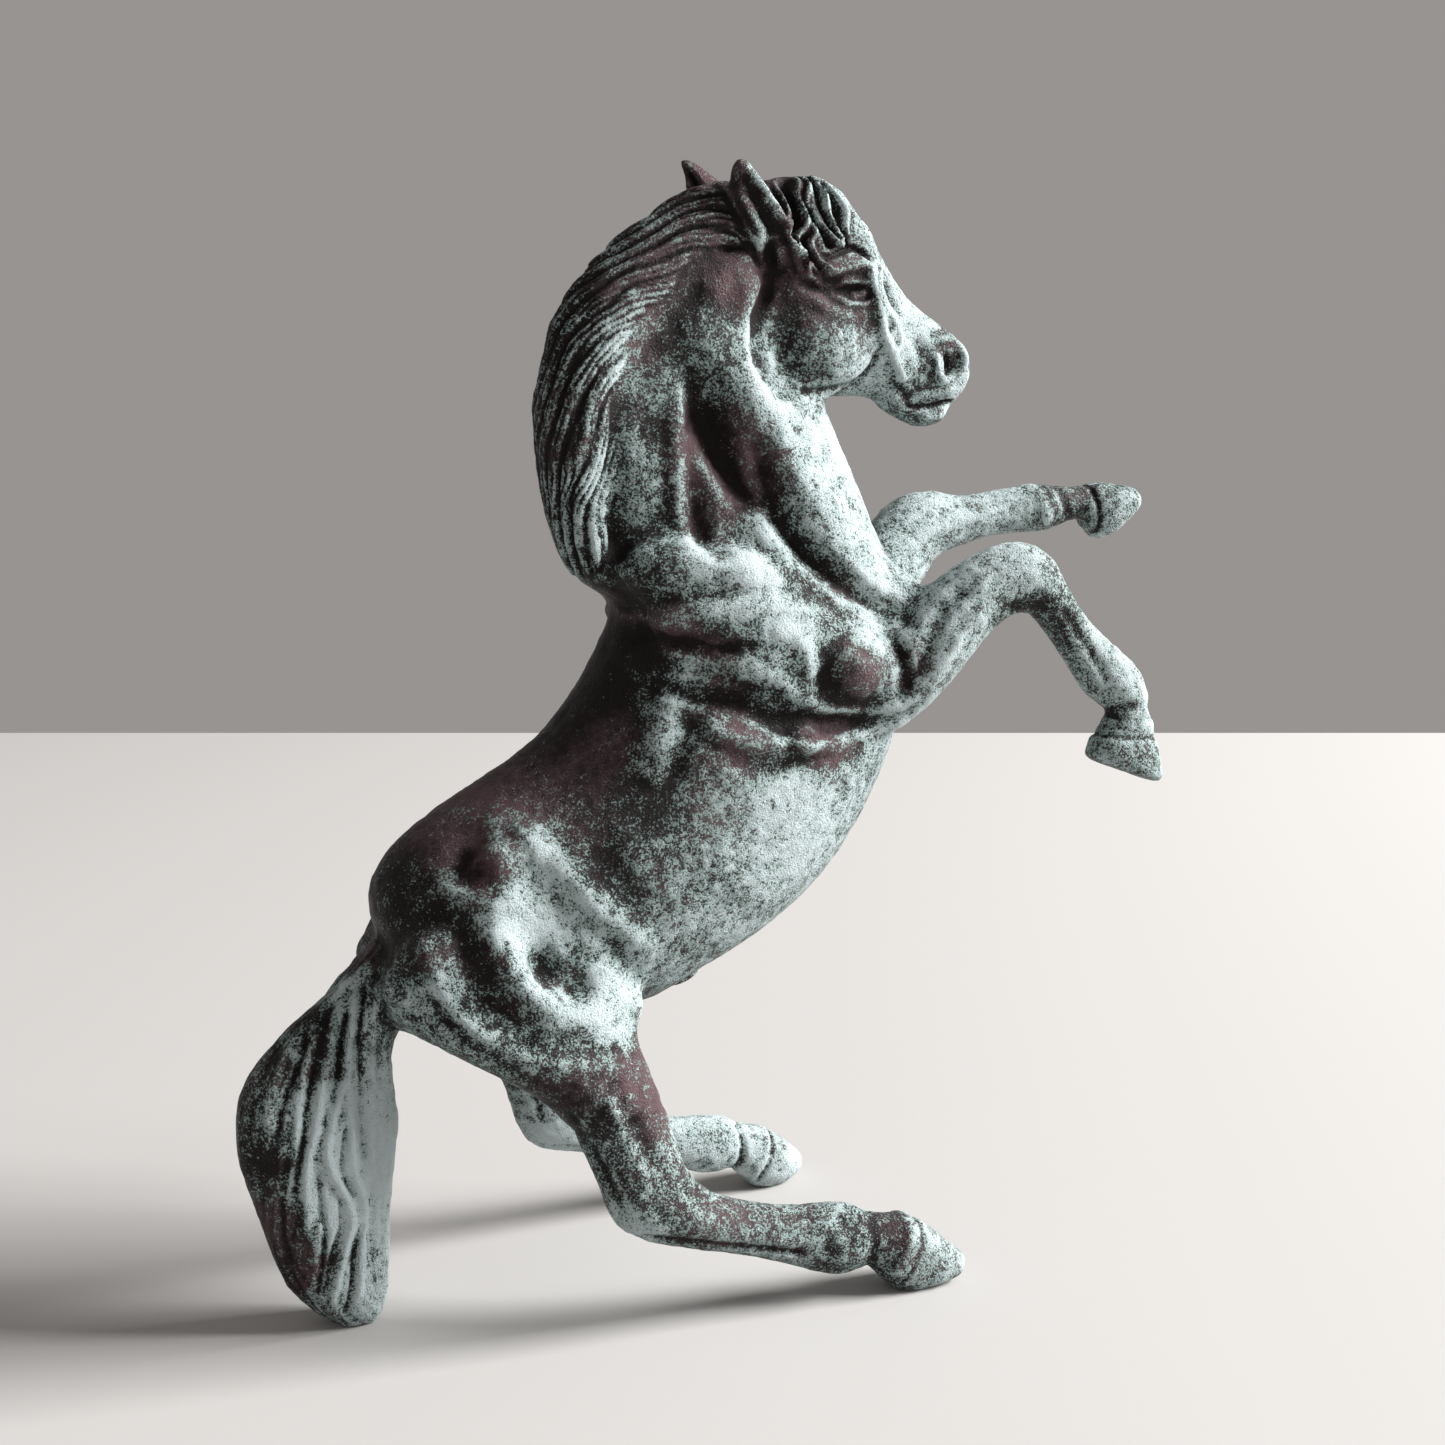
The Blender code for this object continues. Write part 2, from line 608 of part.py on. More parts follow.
def hollow(pieces, helpers):
    """Takes the core out of the torso and the neck, and gives the neck its sleeve."""
    parting = PARTINGS["neck_and_head"]
    core = loft("core", CORE, helpers, sides=16, steps=1)
    sleeve_skin = loft("sleeve_skin", CORE, helpers, GAP, sides=16, steps=1)
    sleeve_bore = loft("sleeve_bore", CORE, helpers, GAP + SLEEVE_WALL, sides=16, steps=1)
    reach = plate("sleeve_reach", parting, -SLEEVE_LENGTH, 2.5, helpers)
    sleeve = combined("sleeve", sleeve_skin, "INTERSECT", [reach], helpers)
    neck = replaced(pieces["neck_and_head"], "UNION", [sleeve], helpers)
    pieces["neck_and_head"] = replaced(neck, "DIFFERENCE", [sleeve_bore], helpers)
    pieces["torso_shell"] = replaced(pieces["torso_shell"], "DIFFERENCE", [core], helpers)
    discard(core, sleeve_skin, sleeve_bore, reach, sleeve)


def pin(name, start, end, radius, into):
    """A pin, with the clearance hole for it."""
    along = (end - start).normalized() * GAP * UNIT
    hole = cylinder("hole", start - along * 8, end + along, radius + GAP, into, 14)
    return cylinder(name, start, end, radius, into, 14), hole


def add_pins(pieces, skin, helpers):
    """The cross pins, the core plug and the core pins, each in its own hole."""
    inset = PIN_INSET * UNIT
    holes = {name: [] for name in pieces}
    for name in SPIGOTS:
        parting = PARTINGS[name]
        away = Vector((parting.away[0], 0, parting.away[1])).normalized()
        middle = point(parting.x, parting.y, parting.z) - away * SPIGOT_LENGTH * 0.55 * UNIT
        out = Vector((0, 1 if parting.y > 0 else -1, 0))
        head = nearest_skin(skin, middle, out) - out * inset
        end = middle - out * (SPIGOT_RADIUS + 1.6) * UNIT
        pieces[f"{name}_pin"], hole = pin(f"{name}_pin", head, end, PIN_RADIUS, helpers)
        holes[name].append(hole)
        holes["torso_shell"].append(hole)
    for side, name in ((-1, "neck_pin_right"), (1, "neck_pin_left")):
        out = Vector((0, side, 0))
        middle = point(NECK_PIN[0], 0, NECK_PIN[1])
        head = nearest_skin(skin, middle, out) - out * inset
        end = middle + out * 9 * UNIT
        pieces[name], hole = pin(name, head, end, PIN_RADIUS, helpers)
        holes["neck_and_head"].append(hole)
        holes["torso_shell"].append(hole)
    for count, (x, z) in enumerate(CORE_PINS):
        for side, hand in ((-1, "right"), (1, "left")):
            out = Vector((0, side, 0))
            middle = point(x, 0, z)
            head = nearest_skin(skin, middle, out) - out * inset
            name = f"core_pin_{hand}_{count + 1}"
            end = middle + out * 14 * UNIT
            pieces[name], hole = pin(name, head, end, CORE_PIN_RADIUS, helpers)
            holes["torso_shell"].append(hole)
    for name, cuts in holes.items():
        if cuts:
            pieces[name] = replaced(pieces[name], "DIFFERENCE", cuts, helpers)
    discard(*{hole for cuts in holes.values() for hole in cuts})


def add_plug(pieces, skin, helpers):
    """The headed plug in the hole through which the core was taken out."""
    (x, z), (away_x, away_z) = PLUG
    out = Vector((away_x, 0, away_z)).normalized()
    surface = nearest_skin(skin, point(x, 0, z), out)
    seat = surface - out * 1.2 * UNIT
    shank = cylinder("shank", seat + out * 0.4 * UNIT, seat - out * 6 * UNIT, PLUG_RADIUS, helpers)
    head = cylinder("head", seat, surface + out * 1.3 * UNIT, PLUG_RADIUS + 0.9, helpers, 20)
    bore = cylinder(
        "bore", surface + out * UNIT, seat - out * 12 * UNIT, PLUG_RADIUS + GAP, helpers
    )
    spot_face = cylinder(
        "spot_face", surface + out * 9 * UNIT, seat - out * GAP * UNIT, PLUG_RADIUS + 1.2, helpers, 20
    )
    pieces["core_plug"] = combined("core_plug", head, "UNION", [shank], helpers)
    torso = pieces["torso_shell"]
    pieces["torso_shell"] = replaced(torso, "DIFFERENCE", [bore, spot_face], helpers)
    discard(shank, head, bore, spot_face)


def replaced(piece, operation, others, helpers):
    """The same piece after the operation, one cutter at a time."""
    for other in others:
        name = piece.name
        after = combined("after", piece, operation, [other], helpers)
        discard(piece)
        after.name = name
        piece = after
    return piece


def main():
    for obj in list(bpy.data.objects):
        bpy.data.objects.remove(obj)
    castings = collection("bronze_horse_statue")
    helpers = collection("cutters")
    helpers.hide_render = True
    figure = build_figure(helpers)
    shell = bmesh.new()
    shell.from_mesh(figure.data)
    skin = BVHTree.FromBMesh(shell)
    pieces = divided(figure, helpers)
    fit_spigots(pieces, helpers)
    hollow(pieces, helpers)
    add_pins(pieces, skin, helpers)
    add_plug(pieces, skin, helpers)
    corners = [figure.matrix_world @ Vector(corner) for corner in figure.bound_box]
    low = [min(corner[k] for corner in corners) for k in range(3)]
    high = [max(corner[k] for corner in corners) for k in range(3)]
    middle = Vector(((low[0] + high[0]) / 2, (low[1] + high[1]) / 2, low[2]))
    patina = bronze("verdigris_bronze", (0.30, 0.42, 0.38), 0.75)
    bare = bronze("pin_bronze", (0.30, 0.17, 0.08), 0.5)
    for name, obj in pieces.items():
        cast = name in PARTINGS or name == "torso_shell"
        obj.data.materials.clear()
        obj.data.materials.append(patina if cast else bare)
        obj.data.set_sharp_from_angle(angle=math.radians(55))
        obj.data.transform(Matrix.Translation(-middle))
        castings.objects.link(obj)
        helpers.objects.unlink(obj)
    discard(figure)
    shell.free()


main()
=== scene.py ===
"""Bronze statue of a rearing horse: the fine surface and its verdigris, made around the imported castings.

The castings are joined into one figure, its seams and pin holes are closed as a founder chases them, and
the modelling is worked into the skin: muscles, eyes, mane, tail and hooves. The figure is then parted
again along the castings' joints. Lengths in this file are in drawing units, close to a millimetre, unless
a name ends in _m or _M: the horse faces +X, its left is +Y and the floor is Z = 0.
"""

import math
from collections import namedtuple

import bmesh
import bpy
import numpy as np
from mathutils import Matrix, Vector

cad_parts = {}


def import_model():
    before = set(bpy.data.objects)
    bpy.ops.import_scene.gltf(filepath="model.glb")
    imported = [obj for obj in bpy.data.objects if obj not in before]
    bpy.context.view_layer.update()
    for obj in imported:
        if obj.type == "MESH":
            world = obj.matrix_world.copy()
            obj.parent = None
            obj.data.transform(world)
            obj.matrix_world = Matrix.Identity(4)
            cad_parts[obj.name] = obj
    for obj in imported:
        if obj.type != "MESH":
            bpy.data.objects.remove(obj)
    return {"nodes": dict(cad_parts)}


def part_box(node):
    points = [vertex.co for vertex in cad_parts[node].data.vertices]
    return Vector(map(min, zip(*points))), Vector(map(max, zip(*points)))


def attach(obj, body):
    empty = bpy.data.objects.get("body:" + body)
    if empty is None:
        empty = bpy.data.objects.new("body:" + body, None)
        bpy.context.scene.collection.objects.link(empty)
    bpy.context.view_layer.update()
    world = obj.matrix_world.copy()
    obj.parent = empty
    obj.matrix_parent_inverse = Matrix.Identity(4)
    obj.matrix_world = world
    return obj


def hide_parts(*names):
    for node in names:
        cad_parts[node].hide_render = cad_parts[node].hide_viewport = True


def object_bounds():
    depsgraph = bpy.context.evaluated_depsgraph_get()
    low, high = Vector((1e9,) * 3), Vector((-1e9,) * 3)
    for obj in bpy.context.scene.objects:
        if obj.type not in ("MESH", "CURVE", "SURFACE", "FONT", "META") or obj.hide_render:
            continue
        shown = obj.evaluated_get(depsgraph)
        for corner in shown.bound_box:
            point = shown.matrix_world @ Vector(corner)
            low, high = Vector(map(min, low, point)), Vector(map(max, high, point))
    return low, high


# ---------------------------------------------------------------- frame and sizes
UNIT = 0.250 / 251.8  # metres in a drawing unit
ORIGIN = np.array([27.384, 5.306, 0.0])  # where the frame's origin lies in the drawing
CASTINGS = (
    "torso_shell",
    "neck_and_head",
    "right_foreleg",
    "left_foreleg",
    "right_hind_leg",
    "left_hind_leg",
    "tail",
)
PINS = ("right_foreleg_pin", "left_foreleg_pin", "right_hind_leg_pin", "left_hind_leg_pin", "tail_pin")
PINS += ("neck_pin_right", "neck_pin_left", "core_pin_right_1", "core_pin_right_2", "core_pin_right_3")
PINS += ("core_pin_left_1", "core_pin_left_2", "core_pin_left_3")
PLUG = "core_plug"
NEAR_PIN_Y = -2  # a pin whose middle is nearer to the camera than this has its head on the near side

SEAL = 0.35  # how far the castings swell to close a seam, before they are drawn back
GRID = 0.55  # size of the sculpted skin's faces
SOFTEN_PASSES = 16
CHASE_PASSES = 60
PIT_RADIUS = 3.4  # reach of the chasing over a pin head
PLUG_PIT_RADIUS = 2.4 * PIT_RADIUS
SEAM_REACH = 1.5  # reach of the chasing on each side of a seam
WITHERS = (-4.0, 154.5)  # where the end of the mane meets the back, chased smooth too
WITHERS_REACH = 6.5
CUT_BAND = 2  # only faces this near to a joint's plane are cut
SAME_POINT_M = 1e-7  # a point this near to the plane lies on it

PIN_COVER = 0.3  # how far the skin stands over the end of a pin
PIN_END_RADIUS = 1.6
PIN_RISE_RADIUS = 5  # where the rise over a pin has died out
PIN_DEPTH = 4  # how far off the skin a pin's end still counts
BLEND_PASSES = 2  # softening of the strokes before the hair and the grain go on
BLEND_SHARE = 0.4
BOX_EASE = 1.0  # how far inside the CAD box the skin starts to be held back

# A joint plane: a point on it, the way out of the torso (x, z), and how far from the point the seam is
# chased and the figure cut.
Parting = namedtuple("Parting", "x y z away chased cut")
PARTINGS = {
    "right_foreleg": Parting(75.5, -20, 152.5, (0.66, 0.75), 26, 19),
    "left_foreleg": Parting(77.5, 20, 166.5, (0.64, 0.77), 26, 19),
    "right_hind_leg": Parting(-10, -27, 46.5, (0.22, -0.975), 26, 22),
    "left_hind_leg": Parting(-15, 29, 47, (0.22, -0.975), 26, 22),
    "tail": Parting(-65, -2, 65.5, (-0.55, -0.835), 26, 19),
    "neck_and_head": Parting(30, 0, 164.5, (-0.24, 0.97), 60, 60),
}


def to_drawing(points_m):
    return points_m / UNIT + ORIGIN


def to_frame(points):
    return (points - ORIGIN) * UNIT


def box_of(name):
    """(low corner, high corner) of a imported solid, in the drawing."""
    low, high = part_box(name)
    return to_drawing(np.array(low)), to_drawing(np.array(high))


def away_of(parting):
    """The unit vector that leaves the torso at a parting."""
    away = np.array([parting.away[0], 0.0, parting.away[1]])
    return away / np.linalg.norm(away)


def middle_of(parting):
    return np.array([parting.x, parting.y, parting.z])


# ---------------------------------------------------------------- mesh arrays
def coords(mesh):
    """The mesh's points, in the drawing."""
    flat = np.empty(len(mesh.vertices) * 3, np.float32)
    mesh.vertices.foreach_get("co", flat)
    return to_drawing(flat.reshape(-1, 3).astype(float))


def set_coords(mesh, points):
    mesh.vertices.foreach_set("co", to_frame(points).astype(np.float32).ravel())
    mesh.update()


def normals(mesh):
    flat = np.empty(len(mesh.vertices) * 3, np.float32)
    mesh.vertex_normals.foreach_get("vector", flat)
    return flat.reshape(-1, 3).astype(float)


def edges_of(mesh):
    flat = np.empty(len(mesh.edges) * 2, np.int32)
    mesh.edges.foreach_get("vertices", flat)
    return flat.reshape(-1, 2)


def neighbours_mean(points, edges):
    """The mean of each point's neighbours along the edges."""
    count = len(points)
    total = np.zeros((count, 3))
    for here, there in ((0, 1), (1, 0)):
        for k in range(3):
            total[:, k] += np.bincount(edges[:, here], points[edges[:, there], k], minlength=count)
    number = np.bincount(edges.ravel(), minlength=count)
    return total / np.maximum(number, 1)[:, None]


def relax(points, edges, free, passes):
    """Draws the free points into a membrane held by the others."""
    local = free[edges].any(axis=1)
    used, index = np.unique(edges[local], return_inverse=True)
    index = index.reshape(-1, 2)
    inside = points[used]
    loose = free[used]
    for _ in range(passes):
        inside[loose] = neighbours_mean(inside, index)[loose]
    points[used] = inside
    return points


# ---------------------------------------------------------------- noise
def lattice(cells, seed):
    """A repeatable random value from 0 to 1 at each whole-number place."""
    x, y, z = (cells[:, k].astype(np.int64) for k in range(3))
    mixed = x * 374761393 + y * 668265263 + z * 2147483647 + seed * 974711
    mixed = (mixed ^ (mixed >> 13)) * 1274126177
    mixed ^= mixed >> 16
    return (mixed & 0xFFFF) / 65535.0


def noise(points, size, seed=0):
    """Smooth value noise from -1 to 1, with features of about this size."""
    scaled = points / size
    cells = np.floor(scaled).astype(np.int64)
    part = scaled - cells
    part = part * part * (3 - 2 * part)
    total = np.zeros(len(points))
    for corner in range(8):
        offset = np.array([(corner >> k) & 1 for k in range(3)])
        weight = np.prod(np.where(offset, part, 1 - part), axis=1)
        total += weight * lattice(cells + offset, seed)
    return total * 2 - 1


def smoothstep(low, high, values):
    t = np.clip((values - low) / (high - low), 0, 1)
    return t * t * (3 - 2 * t)


# ---------------------------------------------------------------- routes on the profile
def curve_through(route, steps=5):
    """Catmull-Rom points through the route."""
    rows = np.asarray(route, float)
    if len(rows) < 3:
        return rows
    padded = np.vstack([2 * rows[0] - rows[1], rows, 2 * rows[-1] - rows[-2]])
    made = []
    for i in range(1, len(padded) - 2):
        before, start, end, after = padded[i - 1 : i + 3]
        for t in np.arange(steps) / steps:
            made.append(
                start
                + 0.5 * t * (end - before)
                + t * t * (before - 2.5 * start + 2 * end - 0.5 * after)
                + 0.5 * t**3 * (3 * start - before - 3 * end + after)
            )
    made.append(rows[-1])
    return np.array(made)


def along_route(flat, route):
    """For points on the profile: distance from the route, side of it and distance along it; and the
    length of the route."""
    best = np.full(len(flat), np.inf)
    side = np.zeros(len(flat))
    travelled = np.zeros(len(flat))
    done = 0.0
    for start, end in zip(route, route[1:]):
        line = end - start
        length = np.linalg.norm(line)
        share = np.clip((flat - start) @ line / (length * length), 0, 1)
        gap = flat - start - share[:, None] * line
        far = np.hypot(gap[:, 0], gap[:, 1])
        nearer = far < best
        best[nearer] = far[nearer]
        turned = line[0] * gap[:, 1] - line[1] * gap[:, 0]
        side[nearer] = np.sign(turned[nearer])
        travelled[nearer] = done + share[nearer] * length
        done += length
    return best, side, travelled, done


# Strokes of the modelling tool: the route on the profile, how wide it reaches, how far it lifts the skin
# (a minus sign presses it in), and the sides of the horse that have it. A sharp stroke has a crease.
Stroke = namedtuple("Stroke", "route reach lift sides sharp", defaults=((-1, 1), False))
MIDLINE = (1, 4)  # strokes fade in between these distances from the figure's middle plane
CREASE_POWER = 1.6
END_STRENGTH = 0.35  # how much of a long stroke is left at its ends

BODY_STROKES = [
    # neck: the hollow in front of the shoulder blade, the ridges beside it and the jugular groove
    Stroke([(14.5, 201), (16.5, 193), (19.5, 185), (23.5, 178), (26, 173)], 5.8, -3.2),
    Stroke([(11.5, 180), (13.5, 173), (14.5, 167.5), (20, 168)], 4.6, -2.0),
    Stroke([(10, 203), (9, 190), (9.3, 180), (10, 173)], 3.2, 1.2),
    Stroke([(12.5, 189), (18.5, 179.5), (24, 174), (29, 166), (33, 160)], 4.0, 1.2),
    Stroke([(22, 207), (28, 197), (34, 188), (39.5, 175), (46, 165), (54, 157)], 8.5, 1.7),
    Stroke([(27, 188), (30.5, 175), (36, 167), (43, 160.5), (51, 155), (59, 151.5)], 4.4, -2.9),
    Stroke([(33, 197), (37, 188), (40, 178)], 3.5, -0.5),
    Stroke([(31, 229), (30, 220), (28, 212), (29, 204), (34, 199)], 4.0, -0.6),
    Stroke([(17, 222), (17, 208), (20, 197)], 7, 0.8),
    Stroke([(6, 214), (3, 200), (3, 184)], 7, -0.9),
    # shoulder: the two shelves, the fold between them, the elbow and what lies behind it
    Stroke([(8, 160.5), (14, 161.5), (22, 159.5), (31, 155)], 9.5, 1.9),
    Stroke([(16, 166), (24, 161), (32, 155)], 6.0, 0.7),
    Stroke([(-6, 176), (-4, 166), (0, 157)], 5.0, -0.9),
    Stroke([(0, 151), (7, 152.3), (15, 153), (24, 153.4), (34, 152.4), (45, 150), (51.5, 145.5),
            (53.5, 139.5)], 4.6, 1.3, (-1,)),
    Stroke([(12, 152.8), (24, 153.4), (34, 152.4), (45, 150), (51.5, 145.5), (53.5, 139.5)], 4.6, 1.3, (1,)),
    Stroke([(0, 149), (7, 147.6), (14, 146), (20, 146.4)], 3.6, -2.2),
    Stroke([(44.5, 144), (48.5, 139)], 9.0, 1.4),
    Stroke([(41.5, 147.5), (38, 143.5), (38.2, 138), (42, 134), (49, 131.8)], 4.2, -0.9),
    Stroke([(56, 147), (57.8, 141), (57.5, 135)], 2.6, -1.7),
    Stroke([(24, 150), (31, 147.5), (35, 142), (35, 136)], 3.6, 0.8),
    Stroke([(18, 141), (26, 139.5), (33, 135)], 4.0, 0.9),
    Stroke([(3, 137.5), (11, 136), (19, 134), (27.5, 129.5), (35, 127.5), (46, 127.6)], 3.6, -1.5),
    Stroke([(30, 131), (37, 129.3), (45, 128.6), (57, 128.3), (63, 131.5)], 2.8, -1.2),
    Stroke([(30, 135), (40, 132), (50, 131), (58, 132)], 2.6, 0.6),
    Stroke([(10, 131), (17, 127), (26, 125), (35, 124.4), (46, 125)], 3.6, 1.1),
    Stroke([(14, 124), (22, 120.5), (32, 119.4)], 3.6, -0.7),
    Stroke([(7, 139), (2.5, 130), (-1, 121)], 4.6, 1.5),
    Stroke([(11, 133), (6, 125), (3, 117)], 3.6, -1.0),
    # trunk
    Stroke([(6, 107), (20, 96), (31, 92)], 9, 0.5),
    Stroke([(-16, 110), (-10, 98), (-2, 88)], 7, -1.3),
    # quarters: the point of the hip and the hollow behind it, the ridge round the stifle
    Stroke([(-31, 109.5), (-27.5, 107), (-23, 100)], 5.5, 2.2),
    Stroke([(-38, 106.5), (-39.5, 101), (-38, 97)], 5.2, -2.0),
    Stroke([(-47, 99.5), (-41, 96.5), (-33, 97)], 4.6, 1.5),
    Stroke([(-22.6, 104), (-17, 96), (-9, 88), (-2, 81)], 5.0, 1.4),
    Stroke([(-36, 93), (-35, 86), (-32, 79.5), (-26, 73), (-18, 70), (-10, 71)], 5.2, 1.4),
    Stroke([(-16, 90), (-12.5, 80), (-10, 73)], 6.0, 1.6),
    Stroke([(-28, 87), (-25.5, 80), (-20.5, 76.5)], 5.2, -2.5),
    Stroke([(-44, 92), (-41.5, 84), (-38, 75), (-30, 68)], 5.5, -1.8),
    Stroke([(-50, 90), (-49, 81), (-45, 73), (-39, 66)], 3.2, 1.0),
    Stroke([(-34, 67.2), (-27, 65), (-18, 63.3), (-8, 62)], 4.0, -1.0),
    Stroke([(-50, 76), (-44, 68.5), (-38, 63), (-30, 57)], 2.6, -0.7),
]
HEAD_STROKES = [
    # brow, eye socket, ball of the eye and its lids
    Stroke([(43.5, 225), (48, 228), (53, 228.8), (57.5, 227)], 2.4, 0.8),
    Stroke([(42, 224), (46, 223.4), (50, 222.6), (55, 222.6)], 2.4, -1.5),
    Stroke([(51.8, 221.9), (54, 222.4)], 1.9, 1.3),
    Stroke([(40, 229), (44, 226.4), (49, 227), (54, 228.4)], 1.0, 0.7),
    Stroke([(40, 226), (43.5, 223.6), (47, 223.6)], 1.1, 0.7),
    Stroke([(46.6, 223), (49.5, 224.1), (53, 224.4), (56.2, 223.4)], 1.0, 0.6),
    Stroke([(48.4, 220.8), (50.8, 219.9), (53.8, 219.8), (56.2, 221)], 0.9, 0.6),
    Stroke([(48.4, 221.7), (51, 220.8), (53.8, 220.6), (55.9, 221.6)], 0.6, -0.6, (-1, 1), True),
    Stroke([(47, 222.2), (50, 223.4), (53, 223.8), (56, 223)], 0.6, -0.8, (-1, 1), True),
    # jowl, with the groove behind it and the edge of the cheek under the eye
    Stroke([(44.5, 212), (46, 210.5)], 11.5, 1.0),
    Stroke([(32.5, 224.5), (29.3, 218), (28, 211.5), (28.8, 206), (31.8, 201), (36.5, 198.6)], 3.0, -1.3),
    Stroke([(25.3, 220), (24, 213), (24.4, 207), (26.5, 201)], 4.5, 0.3),
    Stroke([(39.5, 224), (44, 222), (47.5, 220)], 1.8, -0.8),
    Stroke([(41, 220.6), (45, 218.6), (49, 217.2), (53, 217)], 2.4, 0.5),
    Stroke([(38, 200.6), (46, 201.2), (53, 202.4), (57, 206), (58.3, 210)], 1.5, -0.8),
    # crest of the face, the vein in front of it and the side of the nose
    Stroke([(54.9, 228.5), (56.4, 224), (57.7, 219.7), (59.4, 214.3), (62, 209.5), (64.7, 205.2),
            (66.3, 202)], 2.3, 0.9),
    Stroke([(58.8, 229), (58.2, 224), (59.4, 219.8), (62, 217), (63.9, 214.3), (64, 211),
            (62.6, 209)], 0.85, 0.42),
    Stroke([(59.8, 226.5), (61.2, 222), (64, 218)], 1.7, -1.0),
    Stroke([(60.3, 216), (61.4, 212.5)], 1.3, -0.6),
    Stroke([(66.5, 214.5), (69.5, 210.5), (71, 206)], 3.2, -1.0),
    # nostril, lips and chin
    Stroke([(74.5, 212.8), (78.5, 212.3), (81, 210), (81.2, 206.5)], 1.5, 0.8),
    Stroke([(75.9, 209.6), (77.1, 207.6), (76.7, 205.2)], 1.4, -1.5),
    Stroke([(73.9, 209.8), (74.1, 206.2), (75.6, 203.4)], 1.1, 0.7),
    Stroke([(67.3, 197.6), (70, 197.5), (73.5, 197.7), (76.5, 198.4),
            (80, 198.8)], 0.95, -1.3, (-1, 1), True),
    Stroke([(75, 197.9), (78, 198.2), (80.5, 198)], 0.9, -0.9, (-1, 1), True),
    Stroke([(69, 200), (73, 200.2), (77, 201), (80, 202)], 1.7, 0.5),
    Stroke([(71, 195.2), (74, 195.2), (77, 195.8)], 1.3, 0.8),
    Stroke([(64.5, 203), (66.8, 199.8), (67.6, 196.6)], 1.3, -0.4),
    # shells of the ears and the bump of bone behind them
    Stroke([(24.4, 246.5), (27, 241), (30, 236), (33.5, 231)], 5.4, 2.6, (-1,)),
    Stroke([(25.4, 244.2), (27.6, 240.2), (30.2, 236), (32.4, 233)], 2.9, -3.2, (-1,)),
    Stroke([(25.2, 247.2), (28.9, 242), (32.5, 237.2), (35.6, 232.6), (37.6, 229),
            (38.8, 226)], 1.3, 1.2, (-1,)),
    Stroke([(21.8, 244), (23.4, 239), (26, 234.5), (29, 231)], 1.2, 0.8, (-1,)),
    Stroke([(18.5, 249), (21.5, 244), (26, 239)], 1.5, -1.9, (1,)),
    Stroke([(30.5, 233.5), (31.5, 230), (33.5, 226.5)], 2.2, -1.6),
    Stroke([(19, 224), (23, 226), (26.5, 223)], 7.0, 1.3),
    Stroke([(20, 231), (26, 231), (29.5, 228)], 1.6, -1.2),
]
LEG_STROKES = [
    # right foreleg: forearm, knee, tendon, fetlock and the cleft behind the pastern
    Stroke([(58, 133.5), (62.5, 143), (66.5, 152), (74, 158.5)], 2.8, -1.1, (-1,)),
    Stroke([(64, 136), (70, 146), (78, 153)], 3.0, 0.8, (-1,)),
    Stroke([(86, 157), (92, 157.5), (95, 153)], 4.5, 0.7, (-1,)),
    Stroke([(82, 152), (89, 153.5), (94, 150)], 2.4, -0.6, (-1,)),
    Stroke([(96, 153), (101, 147), (106, 140), (110, 134)], 2.0, -0.55, (-1,)),
    Stroke([(110, 127.5), (117, 129), (124, 128)], 2.2, -0.5, (-1,)),
    Stroke([(108.5, 122.3), (116, 121.8), (126, 121.2)], 1.2, -0.6, (-1,), True),
    Stroke([(110, 125.5), (114, 125), (118, 124.6), (125, 124.4)], 1.6, 0.4, (-1,)),
    # left foreleg
    Stroke([(79, 168), (90, 171), (100, 172)], 3.0, 0.6, (1,)),
    Stroke([(118.5, 179), (120.5, 174), (122.5, 170)], 2.2, -0.6, (1,)),
    Stroke([(112, 178), (114.5, 173), (116, 168)], 3.0, 0.6, (1,)),
    Stroke([(128, 179), (129.5, 173), (130, 166)], 1.2, -0.9, (1,), True),
    # hind legs: gaskin, hock, tendons, fetlocks and coronets
    Stroke([(-14, 58), (-8, 46), (-3, 35)], 3.5, -0.9),
    Stroke([(-22, 50), (-16, 39), (-12, 29)], 1.6, -0.7),
    Stroke([(-8, 22), (4, 19.5), (16, 16.5), (30, 13)], 1.6, -0.8, (-1,)),
    Stroke([(0, 30), (4, 25), (12, 22)], 5.0, 0.7, (-1,)),
    Stroke([(36, 19), (39, 13), (38, 8)], 3.4, 0.7, (-1,)),
    Stroke([(46.5, 18.5), (46.8, 12), (46.5, 6)], 2.2, -0.5, (-1,)),
    Stroke([(59.5, 16.5), (57.5, 10), (53.5, 2.5)], 1.2, -0.6, (-1,), True),
    Stroke([(56.5, 17), (54.5, 10), (51, 4)], 2.0, 0.6, (-1,)),
    Stroke([(-13, 22), (0, 19.5), (12, 16.5), (24, 13)], 1.6, -0.8, (1,)),
    Stroke([(52, 15.5), (50, 9), (46.5, 2.5)], 1.2, -0.9, (1,), True),
    Stroke([(41.8, 17.5), (42, 11), (40.5, 6)], 1.7, -0.8, (1,)),
]


